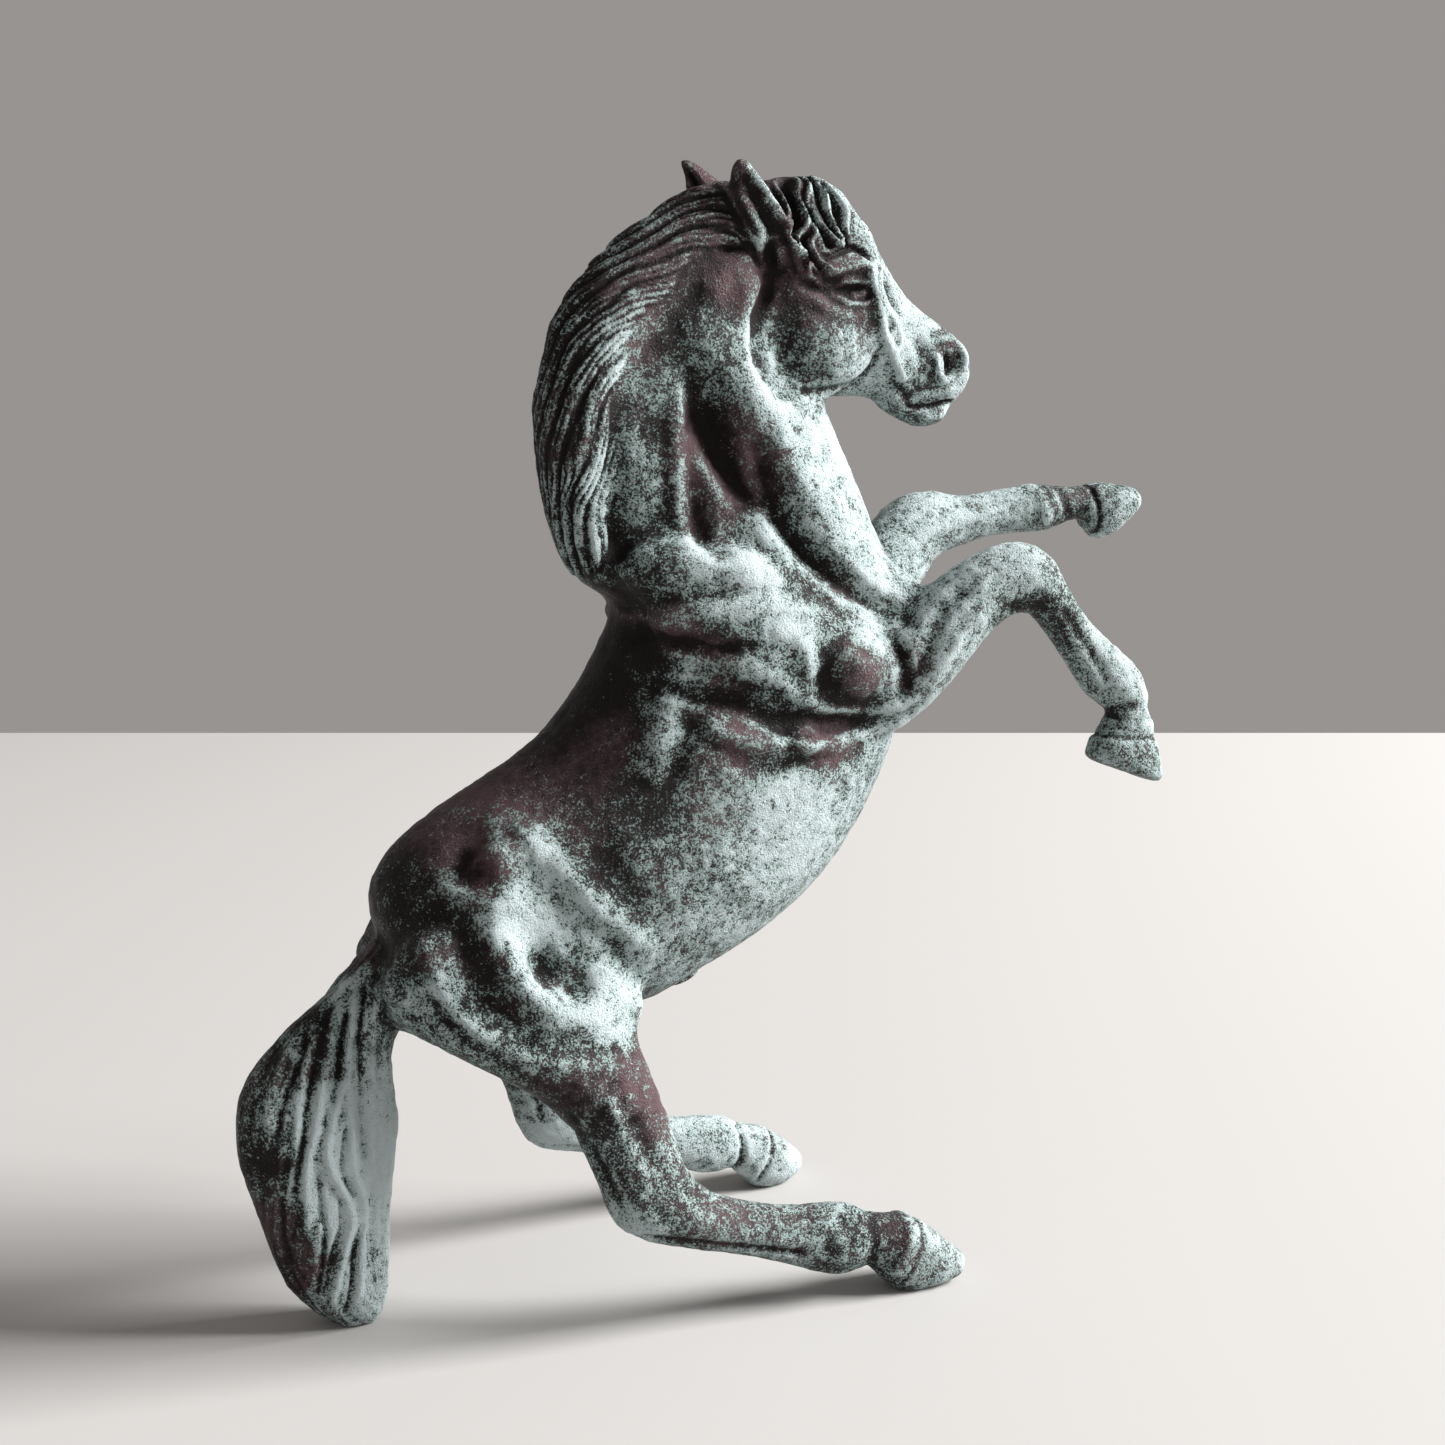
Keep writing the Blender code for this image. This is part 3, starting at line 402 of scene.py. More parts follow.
def stroke_lift(points, strokes):
    """How far the strokes move each point along its normal."""
    moved = np.zeros(len(points))
    for stroke in strokes:
        route = curve_through(stroke.route)
        low = route.min(axis=0) - stroke.reach
        high = route.max(axis=0) + stroke.reach
        flat = points[:, [0, 2]]
        near = ((flat > low) & (flat < high)).all(axis=1)
        if len(stroke.sides) == 1:
            near &= points[:, 1] * stroke.sides[0] > MIDLINE[0]
        else:
            near &= np.abs(points[:, 1]) > MIDLINE[0]
        index = np.flatnonzero(near)
        far, _, travelled, length = along_route(flat[index], route)
        share = np.clip(1 - far / stroke.reach, 0, 1)
        if stroke.sharp:
            height = share**CREASE_POWER
        else:
            height = share * share * (3 - 2 * share)
        if length > 1.5 * stroke.reach:
            from_end = np.minimum(travelled, length - travelled)
            full = smoothstep(0, min(stroke.reach * 1.2, length * 0.45), from_end)
            height *= END_STRENGTH + (1 - END_STRENGTH) * full
        fade = smoothstep(*MIDLINE, np.abs(points[index, 1]))
        moved[index] += stroke.lift * height * fade
    return moved


# ---------------------------------------------------------------- hair
MANE_LOCK = 5.2  # width of a lock of the mane
MANE_HAIR = 1.8
MANE_SLANT = 0.42  # how far the locks drop below the crest for each unit along it
EAR_CLEAR = (6.2, 4.6)  # the mane gives way to the near ear between these distances from its line
CREST_ROUND = 9.5  # half the width over which the crest is rounded
TAIL_LOCKS = 9  # in one turn round the tail
TAIL_HAIRS = 29
TAIL_STRENGTH = 0.72  # share of the tail strokes' lift
CREST = [(28, 246), (22, 245), (11, 240), (3, 234), (-6, 226.5), (-13, 219), (-17, 209), (-18.5, 198)]
CREST += [(-18.5, 187), (-16.5, 175), (-12, 164), (-7, 157)]
MANE_EDGE = [(28, 231), (19, 229.5), (12, 226), (6, 220), (0, 214), (-2.5, 209), (-2, 204)]
MANE_EDGE += [(-5, 198), (-4.5, 190), (-3.5, 182), (-4.5, 173), (-6.5, 165), (-9, 158)]
EAR_LINE = [(24, 250), (27, 241), (30, 236), (34, 230)]  # down the middle of the near ear
TAIL_LINE = [(-45, 90), (-53, 80), (-62, 70), (-70, 58), (-71, 45), (-70, 33), (-68.5, 20)]
TAIL_LINE += [(-66, 8), (-62, 0)]
FORELOCK_STROKES = [
    Stroke([(33, 249), (36, 245.5), (35.4, 241), (35.2, 236.1), (36.5, 231.9), (38.4, 228.4),
            (39.8, 225)], 1.2, 1.0),
    Stroke([(36, 248), (37.4, 243), (37.5, 238.5), (36.6, 234)], 1.4, -1.7),
    Stroke([(35, 250), (38.5, 246.5), (39.8, 242), (40.3, 238.5), (38.8, 234.2), (38, 230.5),
            (39.6, 226.8)], 1.0, 1.0),
    Stroke([(36, 251), (40, 247.6), (41, 242.9), (42, 239.2), (44.8, 235), (48, 232)], 0.95, 0.9),
    Stroke([(41.4, 240), (43.1, 235.6), (45.6, 232)], 1.2, -1.5),
    Stroke([(41.4, 236), (41.6, 232), (43.9, 228.8), (46.5, 227)], 0.9, 0.8),
    Stroke([(39.8, 233.4), (40.6, 229.6), (43, 226.4)], 1.0, -1.2),
    Stroke([(37, 252), (42.5, 248.2), (43.8, 244), (45.2, 240.6), (47.7, 237), (48.6, 232.6)], 0.95, 0.9),
    Stroke([(41.5, 247), (42.9, 243), (45.3, 239), (46.8, 235.4)], 1.1, -1.4),
    Stroke([(40, 250), (44, 247.6), (46.5, 244), (49, 239.8), (50.4, 235.9), (50.8, 232.5)], 1.0, 0.8),
    Stroke([(43.4, 246), (45.6, 243), (47.6, 239.4), (48.8, 235.4), (49.6, 232)], 0.9, -1.1),
    Stroke([(44, 229.5), (47.5, 231), (52, 231.4), (56, 230.2)], 1.4, -0.9),
]
TAIL_STROKES = [
    Stroke([(-66, 75), (-70.5, 70.5), (-74.2, 66), (-77.4, 61.5), (-80.4, 55.5), (-82, 48)], 1.6, 0.9),
    Stroke([(-62, 76), (-67, 72.5), (-70.2, 68.5), (-72, 64), (-73.8, 59.5), (-75.2, 53.5),
            (-76.5, 45)], 1.6, 1.0),
    Stroke([(-57, 80), (-61, 77), (-64, 74), (-67, 68), (-69, 61), (-70.7, 55), (-72.4, 47), (-74, 41),
            (-74.4, 33), (-74, 24)], 1.7, 1.2),
    Stroke([(-65.5, 58), (-67.6, 52), (-69, 47), (-70, 42.5), (-69.2, 38), (-66.5, 32), (-65, 26),
            (-66.6, 19.5), (-68.2, 12.5), (-69.3, 6)], 1.6, 1.2),
    Stroke([(-62, 74), (-64, 66), (-64.7, 58), (-64.8, 50), (-64.6, 42), (-63.8, 35), (-62.2, 29),
            (-62.8, 22), (-63, 14), (-64, 7)], 1.5, 1.1),
    Stroke([(-56, 80), (-58, 73), (-59, 64), (-59.8, 52), (-60, 42), (-59, 30), (-59.5, 18)], 1.5, 0.7),
    Stroke([(-60, 76.5), (-61.8, 68), (-62, 58), (-62.2, 48), (-61.6, 38)], 1.3, -1.2),
    Stroke([(-64, 71), (-66, 64), (-67.2, 57), (-68.5, 52)], 1.2, -1.1),
    Stroke([(-72.5, 66), (-75.5, 59.5), (-78.5, 53), (-80, 46)], 1.2, -1.0),
    Stroke([(-71.5, 61), (-73.3, 55), (-74.4, 49), (-75.6, 41), (-77, 33)], 1.2, -1.0),
    Stroke([(-65.7, 47), (-66.8, 41), (-66.6, 36), (-64.4, 31)], 1.1, -1.2),
    Stroke([(-71.8, 38), (-71.6, 30), (-70.8, 24), (-71.4, 17), (-72.4, 9)], 1.2, -1.1),
    Stroke([(-67.4, 32), (-67.6, 25), (-69.6, 18), (-71, 10)], 1.0, -0.8),
    Stroke([(-62.6, 25), (-64.6, 18), (-65.4, 10), (-66.6, 4)], 1.1, -1.0),
    Stroke([(-78, 42), (-79, 34), (-79.4, 26), (-78, 17)], 1.3, -0.8),
]


def locks(phase):
    """Round ridges with sharp grooves between them, from -1 to 1, one to each whole phase."""
    part = np.abs(2 * (phase - np.floor(phase)) - 1)
    return 1 - 2 * part**2.4


def mane_field(points):
    """For each point: how much of it is mane, its distance below the crest and along it, and how far
    inside the mane's edge it lies."""
    flat = points[:, [0, 2]]
    far, _, travelled, _ = along_route(flat, curve_through(CREST))
    edge_far, edge_side, _, _ = along_route(flat, curve_through(MANE_EDGE))
    inside = edge_far * -edge_side + 2.4 * noise(points * [1, 0.6, 1], 8, 17)
    amount = smoothstep(-0.8, 0.8, inside)
    amount *= smoothstep(-1, 3, travelled) * (far < 27)
    amount *= smoothstep(153, 161, points[:, 2]) * (points[:, 0] < 34)
    from_ear, _, _, _ = along_route(flat, curve_through(EAR_LINE))
    amount *= 1 - smoothstep(*EAR_CLEAR, from_ear) * (points[:, 1] < -3)
    over = np.clip(CREST_ROUND - np.abs(points[:, 1]), 0, CREST_ROUND)
    across = far - over * smoothstep(9, 1, far)
    return amount, across, travelled, inside


def in_tail(points):
    return (points[:, 0] < -49) & (points[:, 2] < 92)


def tail_field(points):
    """For each point: how much of it is tail hair, its angle round the tail and its distance along it."""
    far, side, travelled, _ = along_route(points[:, [0, 2]], curve_through(TAIL_LINE))
    angle = np.arctan2(points[:, 1] + 2.5, far * side * 0.75)
    amount = smoothstep(5, 20, travelled) * in_tail(points)
    amount *= smoothstep(-49, -53, points[:, 0])
    return amount, angle, travelled


def hair_lift(points):
    """Lifts the locks of the mane and the tail, and the forelock's strands."""
    amount, across, along, inside = mane_field(points)
    wave = noise(points * [1, 0.6, 1], 11, 3)
    drift = across + MANE_SLANT * along + 3.2 * wave
    body = locks(drift / MANE_LOCK + 0.7 * noise(points, 15, 5))
    fine = locks(drift / MANE_HAIR + 1.1 * noise(points, 7, 9))
    vary = 0.7 + 0.5 * noise(points, 9, 12)
    faint = 0.6 + 0.6 * noise(points, 6, 14)
    strength = 0.45 + 0.45 * smoothstep(1, 8, inside)
    moved = amount * (strength * body * vary + 0.42 * fine * faint)
    moved += 0.25 * smoothstep(0, 1.6, inside) * smoothstep(9, 1.6, inside) * amount
    amount, angle, along = tail_field(points)
    turn = angle / (2 * math.pi) + 0.05 * np.sin(along / 11) + 0.035 * noise(points, 16, 21)
    body = locks(turn * TAIL_LOCKS)
    fine = locks(turn * TAIL_HAIRS + 0.7 * noise(points, 9, 23))
    vary = 0.7 + 0.3 * noise(points, 12, 25)
    moved += amount * (0.2 * body * vary + 0.07 * fine - 0.2)
    moved += TAIL_STRENGTH * stroke_lift(points, TAIL_STROKES) * smoothstep(0, 0.3, amount)
    curled = points.copy()
    curled[:, 0] += 0.85 * np.sin(points[:, 2] / 1.55 + points[:, 0] / 2.6)
    curled[:, 2] += 0.5 * np.sin(points[:, 0] / 1.7)
    beside = smoothstep(1.5, 7, np.abs(points[:, 1]))  # smooth along the top of the head
    moved += (0.25 + beside) * stroke_lift(curled, FORELOCK_STROKES)
    return moved


# ---------------------------------------------------------------- the sculpted skin
def joined_castings(frame):
    """One rough object from copies of the castings and the pins that fill their holes."""
    bm = bmesh.new()
    for node in frame["nodes"].values():
        part = bmesh.new()
        part.from_mesh(node.data)
        part.transform(node.matrix_world)
        holder = bpy.data.meshes.new("part")
        part.to_mesh(holder)
        bm.from_mesh(holder)
        bpy.data.meshes.remove(holder)
        part.free()
    mesh = bpy.data.meshes.new("rough")
    bm.to_mesh(mesh)
    bm.free()
    rough = bpy.data.objects.new("rough", mesh)
    bpy.context.scene.collection.objects.link(rough)
    return rough


def applied(source, name):
    """A new object that holds the source's mesh with its modifiers applied."""
    graph = bpy.context.evaluated_depsgraph_get()
    graph.update()
    mesh = bpy.data.meshes.new_from_object(source.evaluated_get(graph))
    made = bpy.data.objects.new(name, mesh)
    bpy.context.scene.collection.objects.link(made)
    bpy.data.objects.remove(source)
    return made


def largest_part(obj):
    """Only the object's largest connected surface, which leaves the hollows inside it out."""
    bpy.ops.object.select_all(action="DESELECT")
    bpy.context.view_layer.objects.active = obj
    obj.select_set(True)
    bpy.ops.mesh.separate(type="LOOSE")
    parts = list(bpy.context.selected_objects)
    parts.sort(key=lambda part: len(part.data.vertices), reverse=True)
    for part in parts[1:]:
        bpy.data.objects.remove(part)
    parts[0].name = obj.name
    return parts[0]


def closed_skin(frame):
    """The whole figure as one fine closed skin, with its seams and pin holes chased over."""
    rough = joined_castings(frame)
    swell = rough.modifiers.new("swell", "DISPLACE")
    swell.strength = SEAL * UNIT
    swell.mid_level = 0
    grid = rough.modifiers.new("grid", "REMESH")
    grid.mode = "VOXEL"
    grid.voxel_size = GRID * UNIT
    skin = largest_part(applied(rough, "skin"))
    draw_back = skin.modifiers.new("draw_back", "DISPLACE")
    draw_back.strength = -SEAL * UNIT
    draw_back.mid_level = 0
    soften = skin.modifiers.new("soften", "SMOOTH")
    soften.factor = 0.5
    soften.iterations = SOFTEN_PASSES
    skin = applied(skin, "skin")
    points = coords(skin.data)
    free = np.zeros(len(points), bool)
    for name in frame["nodes"]:
        if name in CASTINGS:
            continue
        low, high = box_of(name)
        head = (low + high) / 2
        if name != PLUG:
            head[1] = low[1] if head[1] < NEAR_PIN_Y or name == "tail_pin" else high[1]
        reach = PLUG_PIT_RADIUS if name == PLUG else PIT_RADIUS
        free |= np.linalg.norm(points - head, axis=1) < reach
    for parting in PARTINGS.values():
        offset = points - middle_of(parting)
        close = np.abs(offset @ away_of(parting)) < SEAM_REACH
        free |= close & (np.linalg.norm(offset, axis=1) < parting.chased)
    free |= np.hypot(points[:, 0] - WITHERS[0], points[:, 2] - WITHERS[1]) < WITHERS_REACH
    set_coords(skin.data, relax(points, edges_of(skin.data), free, CHASE_PASSES))
    return skin


def held_inside(points, low, high):
    """Keeps the points inside the box: eased in at five faces, and flat where it stands on the floor."""
    for k in range(3):
        if k != 2:
            deep = (low[k] + BOX_EASE - points[:, k]) / BOX_EASE
            near = deep > 0
            points[near, k] = low[k] + BOX_EASE * np.exp(-deep[near])
        deep = (points[:, k] - high[k] + BOX_EASE) / BOX_EASE
        near = deep > 0
        points[near, k] = high[k] - BOX_EASE * np.exp(-deep[near])
    points[:, 2] = np.maximum(points[:, 2], 0.0)
    return points


def pins_covered(points):
    """Raises the skin a little wherever it would lie below the end of a pin."""
    for name in PINS:
        low, high = box_of(name)
        middle = (low + high) / 2
        far = np.hypot(points[:, 0] - middle[0], points[:, 2] - middle[2])
        for end, sign in ((low[1], -1), (high[1], 1)):
            depth = (end - points[:, 1]) * sign + PIN_COVER
            near = (far < PIN_RISE_RADIUS) & (np.abs(depth) < PIN_DEPTH)
            near &= (points[:, 1] - middle[1]) * sign > 0
            over = depth[near & (far < PIN_END_RADIUS)]
            if len(over) and over.max() > 0:
                rise = smoothstep(PIN_RISE_RADIUS, PIN_END_RADIUS, far[near])
                points[near, 1] += sign * over.max() * rise
    return points


def sculpt(skin, low, high):
    """Works the modelling into the skin, the large forms first."""
    mesh = skin.data
    edges = edges_of(mesh)
    points = coords(mesh)
    for strokes in (BODY_STROKES, LEG_STROKES, HEAD_STROKES):
        points += normals(mesh) * stroke_lift(points, strokes)[:, None]
        set_coords(mesh, points)
    for _ in range(BLEND_PASSES):
        points += BLEND_SHARE * (neighbours_mean(points, edges) - points)
    set_coords(mesh, points)
    lift = hair_lift(points)
    lift += 0.12 * noise(points, 2.4, 31) + 0.09 * noise(points, 1.25, 32)  # the grain of the cast metal
    ear_tips = smoothstep(244, 246.5, points[:, 2]) * smoothstep(4.5, 6.5, np.abs(points[:, 1]))
    ear_tips *= points[:, 0] < 31
    lift *= 1 - ear_tips
    points += normals(mesh) * lift[:, None]
    set_coords(mesh, held_inside(pins_covered(points), low, high))


# ---------------------------------------------------------------- patina
# (x, z, how much verdigris lies there on the profile, from 0, bare bronze, to 1).
COVER = [
    (-3, 147, 0.08), (-7, 134, 0.08), (-13, 122, 0.15), (-23, 116, 0.25), (-34, 114, 0.22),
    (-47, 104, 0.22), (-55, 94, 0.22), (-57, 88, 0.25), (-53, 85, 0.35), (-32, 108, 0.5), (-24, 102, 0.75),
    (-44, 99, 0.55), (-38, 103, 0.12), (-14, 101, 0.3), (-3, 114, 0.3), (5, 120, 0.45), (3, 127, 0.62),
    (-1, 121, 0.5), (9, 131, 0.3), (4, 131, 0.6), (20, 127, 0.38), (38, 124, 0.22), (33, 101, 0.72),
    (17, 87, 0.68), (9, 99, 0.6), (0, 104, 0.5), (15, 112, 0.6), (28, 114, 0.75), (40, 110, 0.72),
    (-30, 91, 0.82), (-20, 90, 0.82), (-14, 71, 0.82), (-24, 79, 0.6), (-40, 84, 0.25), (-32, 71, 0.5),
    (-36, 78, 0.42), (-51, 75, 0.6), (-24, 62, 0.5), (-14, 48, 0.35), (-5, 52, 0.18), (-22, 55, 0.2),
    (-4, 27, 0.4), (-8, 35, 0.35), (0, 40, 0.42), (10, 25, 0.4), (26, 17, 0.5), (40, 20, 0.48),
    (38, 10, 0.45), (60, 9, 0.58), (49, 12, 0.35), (24, 226, 0.15), (20, 222, 0.2), (6, 213, 0.32),
    (11, 205, 0.4), (-3, 213, 0.55), (3, 194, 0.42), (-1, 202, 0.5), (1, 177, 0.5), (-5, 186, 0.6),
    (17, 192, 0.12), (21, 183, 0.2), (14, 172, 0.35), (46, 188, 0.85), (50, 164, 0.75), (30, 200, 0.8),
    (26, 210, 0.6), (20, 164, 0.8), (27, 160, 0.75), (34, 162, 0.45), (43, 157, 0.5), (3, 164, 0.4),
    (11, 165, 0.72), (6, 155, 0.5), (14, 156, 0.72), (0, 155, 0.25), (-3, 163, 0.35), (8, 148, 0.05),
    (3, 147, 0.12), (15, 147, 0.2), (23, 146, 0.55), (28, 152, 0.85), (46, 141, 0.22), (52, 147, 0.8),
    (17, 136, 0.4), (10, 141, 0.6), (22, 141, 0.7), (30, 128, 0.3), (60, 128, 0.7), (78, 206, 0.6),
    (77, 208, 0.4), (43, 210, 0.42), (50, 212, 0.5), (53, 206, 0.62), (42, 203, 0.55), (62, 212, 0.85),
    (70, 199, 0.4), (68, 216, 0.68), (50, 223, 0.12), (45, 227, 0.1), (50, 229, 0.15), (41, 224, 0.15),
    (51, 228, 0.35), (-6, 223, 0.15), (8, 233, 0.2), (-13, 209, 0.22), (-2, 228, 0.28), (-14, 188, 0.3),
    (-16, 176, 0.3), (-8, 169, 0.5), (12, 239, 0.12), (4, 232, 0.15), (-8, 222, 0.15), (-17, 205, 0.25),
    (24, 248, 0.1), (30, 240, 0.12), (33, 241, 0.1), (37, 237, 0.12), (34, 234, 0.12), (22, 240, 0.1),
    (28.5, 239.5, 0.6), (31, 235.5, 0.5), (36, 241, 0.12), (38, 234, 0.2), (33, 228, 0.2), (42, 240, 0.45),
    (54, 240, 0.5), (58, 228, 0.62), (56, 236, 0.58), (-82, 57, 0.45), (-75, 62, 0.6), (-81, 37, 0.25),
    (-80, 27, 0.25), (-76, 16, 0.2), (-65, 31, 0.95), (-61, 41, 0.9), (-65, 72, 0.7), (-60, 83, 0.35),
    (-71, 70, 0.3), (-77, 61, 0.3), (-63, 10, 0.7), (-73, 35, 0.85), (-70, 50, 0.85), (68, 151, 0.7),
    (85, 161, 0.62), (95, 153, 0.35), (90, 150, 0.4), (107, 142, 0.65), (113, 123, 0.6), (113, 116, 0.5),
    (57, 138, 0.5), (79, 171, 0.7), (105, 174, 0.7), (125, 173, 0.35), (132, 171, 0.6), (-8, 23, 0.7),
    (30, 15, 0.5), (47, 9, 0.48),
]  # fmt: skip
# (x, z, radius) of the places where the bare bronze shows plum red.
RED = [(-31, 108, 6), (23, 223, 7), (38, 124, 7), (12, 186, 5), (-22, 76, 4), (55, 211, 4), (20, 127, 5)]
RED += [(-5, 56, 7), (10, 22, 7), (-34, 74, 5), (14, 108, 10), (80, 214, 3), (58, 8, 5), (6, 152, 4)]
RED += [(46, 141, 6)]


COVER_BLUR = 6  # a square, below which a sample's pull levels off
RAISED_PASSES = 6  # of averaging, to tell ridges from hollows


def patina_values(skin):
    """For each point from 0 to 1: how much verdigris lies on it, and how red the bronze is. Both also carry
    painted light and shade: paler and redder on the faces turned to the key light and on the ridges, darker
    in the hollows, and the verdigris paler over the far hind leg.
    """
    mesh = skin.data
    points = coords(mesh)
    facing = normals(mesh)
    edges = edges_of(mesh)
    mean = points.copy()
    for _ in range(RAISED_PASSES):
        mean = neighbours_mean(mean, edges)
    raised = ((points - mean) * facing).sum(axis=1)
    warped = points + 3 * np.stack([noise(points, 9, seed) for seed in (61, 62, 63)], axis=1)
    total = np.zeros(len(points))
    weight = np.zeros(len(points))
    for x, z, value in COVER:
        pull = ((warped[:, 0] - x) ** 2 + (warped[:, 2] - z) ** 2 + COVER_BLUR) ** -2.0
        total += pull * value
        weight += pull
    amount = total / weight
    amount += 0.08 * facing[:, 0] - 0.05 * np.abs(facing[:, 2])  # painted light: more verdigris, so paler, on the faces turned forward to the key light; less on faces turned up or down
    amount += 0.07 * noise(points, 16, 41) + 0.10 * noise(points, 5.5, 42) + 0.07 * noise(points, 2.6, 43)
    amount += np.clip(raised * np.where(in_tail(points), 0.8, 1.3), -0.33, 0.33)  # painted shade and highlight: less verdigris, so darker, in the hollows; more, so paler, on the ridges
    amount += 0.2 * (points[:, 1] > 8) * (points[:, 2] < 60)  # painted light: the far hind leg, which the key light reaches more, is made paler
    # painted light and shade: redder bare bronze on the faces turned forward to the key light and on the
    # ridges, less red in the hollows
    red_and_light = 0.37 + 0.15 * facing[:, 0] + 0.28 * noise(points, 14, 51) + np.clip(raised * 1.2, -0.2, 0.3)
    for x, z, radius in RED:
        far = np.hypot(warped[:, 0] - x, warped[:, 2] - z) / radius
        red_and_light += 0.35 * np.exp(-far * far)
    return np.clip(amount, 0, 1), np.clip(red_and_light, 0, 1)


def store(mesh, name, values):
    layer = mesh.attributes.new(name, "FLOAT", "POINT")
    layer.data.foreach_set("value", values.astype(np.float32))


class Nodes:
    """Short calls for building a node tree."""

    def __init__(self, material):
        material.use_nodes = True
        self.tree = material.node_tree
        self.shader = self.tree.nodes["Principled BSDF"]

    def link(self, source, target):
        self.tree.links.new(source, target)

    def put(self, target, value):
        if isinstance(value, bpy.types.NodeSocket):
            self.link(value, target)
        else:
            target.default_value = value

    def place(self):
        return self.tree.nodes.new("ShaderNodeTexCoord").outputs["Object"]

    def attribute(self, name):
        node = self.tree.nodes.new("ShaderNodeAttribute")
        node.attribute_name = name
        return node.outputs["Fac"]

    def noise(self, place, scale, detail=2.0, roughness=0.5, distortion=0.0):
        node = self.tree.nodes.new("ShaderNodeTexNoise")
        self.link(place, node.inputs["Vector"])
        node.inputs["Scale"].default_value = scale
        node.inputs["Detail"].default_value = detail
        node.inputs["Roughness"].default_value = roughness
        node.inputs["Distortion"].default_value = distortion
        return node.outputs["Fac"]

    def math(self, operation, first, second=0.0, third=0.0):
        node = self.tree.nodes.new("ShaderNodeMath")
        node.operation = operation
        for socket, value in zip(node.inputs, (first, second, third)):
            self.put(socket, value)
        return node.outputs[0]

    def stirred(self, value, texture, weight):
        """The value, moved up and down by a texture that runs from 0 to 1."""
        return self.math("MULTIPLY_ADD", self.math("SUBTRACT", texture, 0.5), weight, value)

    def between(self, value, low, high, first=0.0, second=1.0):
        """Goes smoothly from the first to the second as the value goes from low to high."""
        node = self.tree.nodes.new("ShaderNodeMapRange")
        node.interpolation_type = "SMOOTHSTEP"
        names = ("Value", "From Min", "From Max", "To Min", "To Max")
        for name, given in zip(names, (value, low, high, first, second)):
            self.put(node.inputs[name], given)
        return node.outputs["Result"]

    def mix(self, factor, first, second):
        node = self.tree.nodes.new("ShaderNodeMix")
        node.data_type = "RGBA"
        self.put(node.inputs["Factor"], factor)
        for socket, value in zip((node.inputs[6], node.inputs[7]), (first, second)):
            self.put(socket, (*value, 1) if isinstance(value, tuple) else value)
        return node.outputs[2]

    def bump(self, height, strength, distance, normal=None):
        node = self.tree.nodes.new("ShaderNodeBump")
        node.inputs["Strength"].default_value = strength
        node.inputs["Distance"].default_value = distance
        self.link(height, node.inputs["Height"])
        if normal is not None:
            self.link(normal, node.inputs["Normal"])
        return node.outputs["Normal"]


# Thick and thin verdigris, its haze over bare metal, and the bare metal itself (linear colours).
PALE = (0.472, 0.538, 0.55)
MINT = (0.196, 0.278, 0.256)
HAZE = (0.068, 0.066, 0.062)
DARK = (0.009, 0.0055, 0.006)
PLUM = (0.088, 0.051, 0.057)
TARNISHED_ROD = (0.10, 0.05, 0.03)
CLEAN_ROD = (0.25, 0.15, 0.08)


def verdigris(name, cover_value=None):
    """Grey-green verdigris that breaks up into specks and flakes over dark brown and plum bronze."""
    made = bpy.data.materials.new(name)
    n = Nodes(made)
    place = n.place()
    # The stored verdigris amount and plum red also carry painted light and shade, from the way the skin
    # faces the key light and from its ridges and hollows.
    cover_and_light = n.attribute("cover_and_light") if cover_value is None else cover_value
    red_and_light = n.attribute("red_and_light") if cover_value is None else 0.5
    blotch = n.noise(place, 420, 4, 0.62, 0.4)
    speck = n.noise(place, 1900, 3, 0.7)
    grain = n.noise(place, 3400, 1, 0.5)
    flake = n.noise(place, 620, 3, 0.7, 0.8)
    spread = n.stirred(cover_and_light, blotch, 0.85)
    mask = n.between(n.stirred(spread, speck, 2.3), 0.45, 0.53)
    chips = n.math("ADD", flake, n.math("MULTIPLY", spread, -0.22))
    mask = n.math("MULTIPLY", mask, n.between(chips, 0.46, 0.50, 1.0, 0.12))
    haze = n.between(n.stirred(spread, grain, 0.9), 0.20, 0.85, 0.0, 0.60)
    plum = n.between(n.stirred(red_and_light, speck, 0.6), 0.25, 0.70)
    bare = n.mix(haze, n.mix(plum, DARK, PLUM), HAZE)
    thick = n.between(n.stirred(spread, grain, 1.2), 0.35, 0.95)
    n.link(n.mix(mask, bare, n.mix(thick, MINT, PALE)), n.shader.inputs["Base Color"])
    n.link(n.between(mask, 0, 1, 0.45, 0.85), n.shader.inputs["Roughness"])
    n.link(n.between(mask, 0, 1, 0.15, 0.0), n.shader.inputs["Metallic"])
    n.shader.inputs["Specular IOR Level"].default_value = 0.18
    fine = n.bump(speck, 0.85, 0.0007)
    crust = n.bump(mask, 0.35, 0.00025, fine)
    n.link(n.bump(grain, 0.5, 0.0004, crust), n.shader.inputs["Normal"])
    return made


def pin_bronze():
    """Dark, unevenly tarnished rod bronze."""
    made = bpy.data.materials.new("pin_bronze_rod")
    n = Nodes(made)
    place = n.place()
    tarnish = n.noise(place, 600, 3, 0.6)
    colour = n.mix(n.between(tarnish, 0.35, 0.7), TARNISHED_ROD, CLEAN_ROD)
    n.link(colour, n.shader.inputs["Base Color"])
    n.link(n.between(tarnish, 0.3, 0.7, 0.35, 0.6), n.shader.inputs["Roughness"])
    n.shader.inputs["Metallic"].default_value = 0.9
    n.link(n.bump(n.noise(place, 2500, 1), 0.2, 0.0002), n.shader.inputs["Normal"])
    return made


# ---------------------------------------------------------------- parting the figure
def longest_chain(edges):
    """The largest connected group of the edges, which leaves out cuts through stray bumps."""
    left = dict.fromkeys(edges)
    best = []
    while left:
        waiting = [left.popitem()[0]]
        chain = []
        while waiting:
            edge = waiting.pop()
            chain.append(edge)
            for other in (other for vert in edge.verts for other in vert.link_edges):
                if other in left:
                    del left[other]
                    waiting.append(other)
        if len(chain) > len(best):
            best = chain
    return best


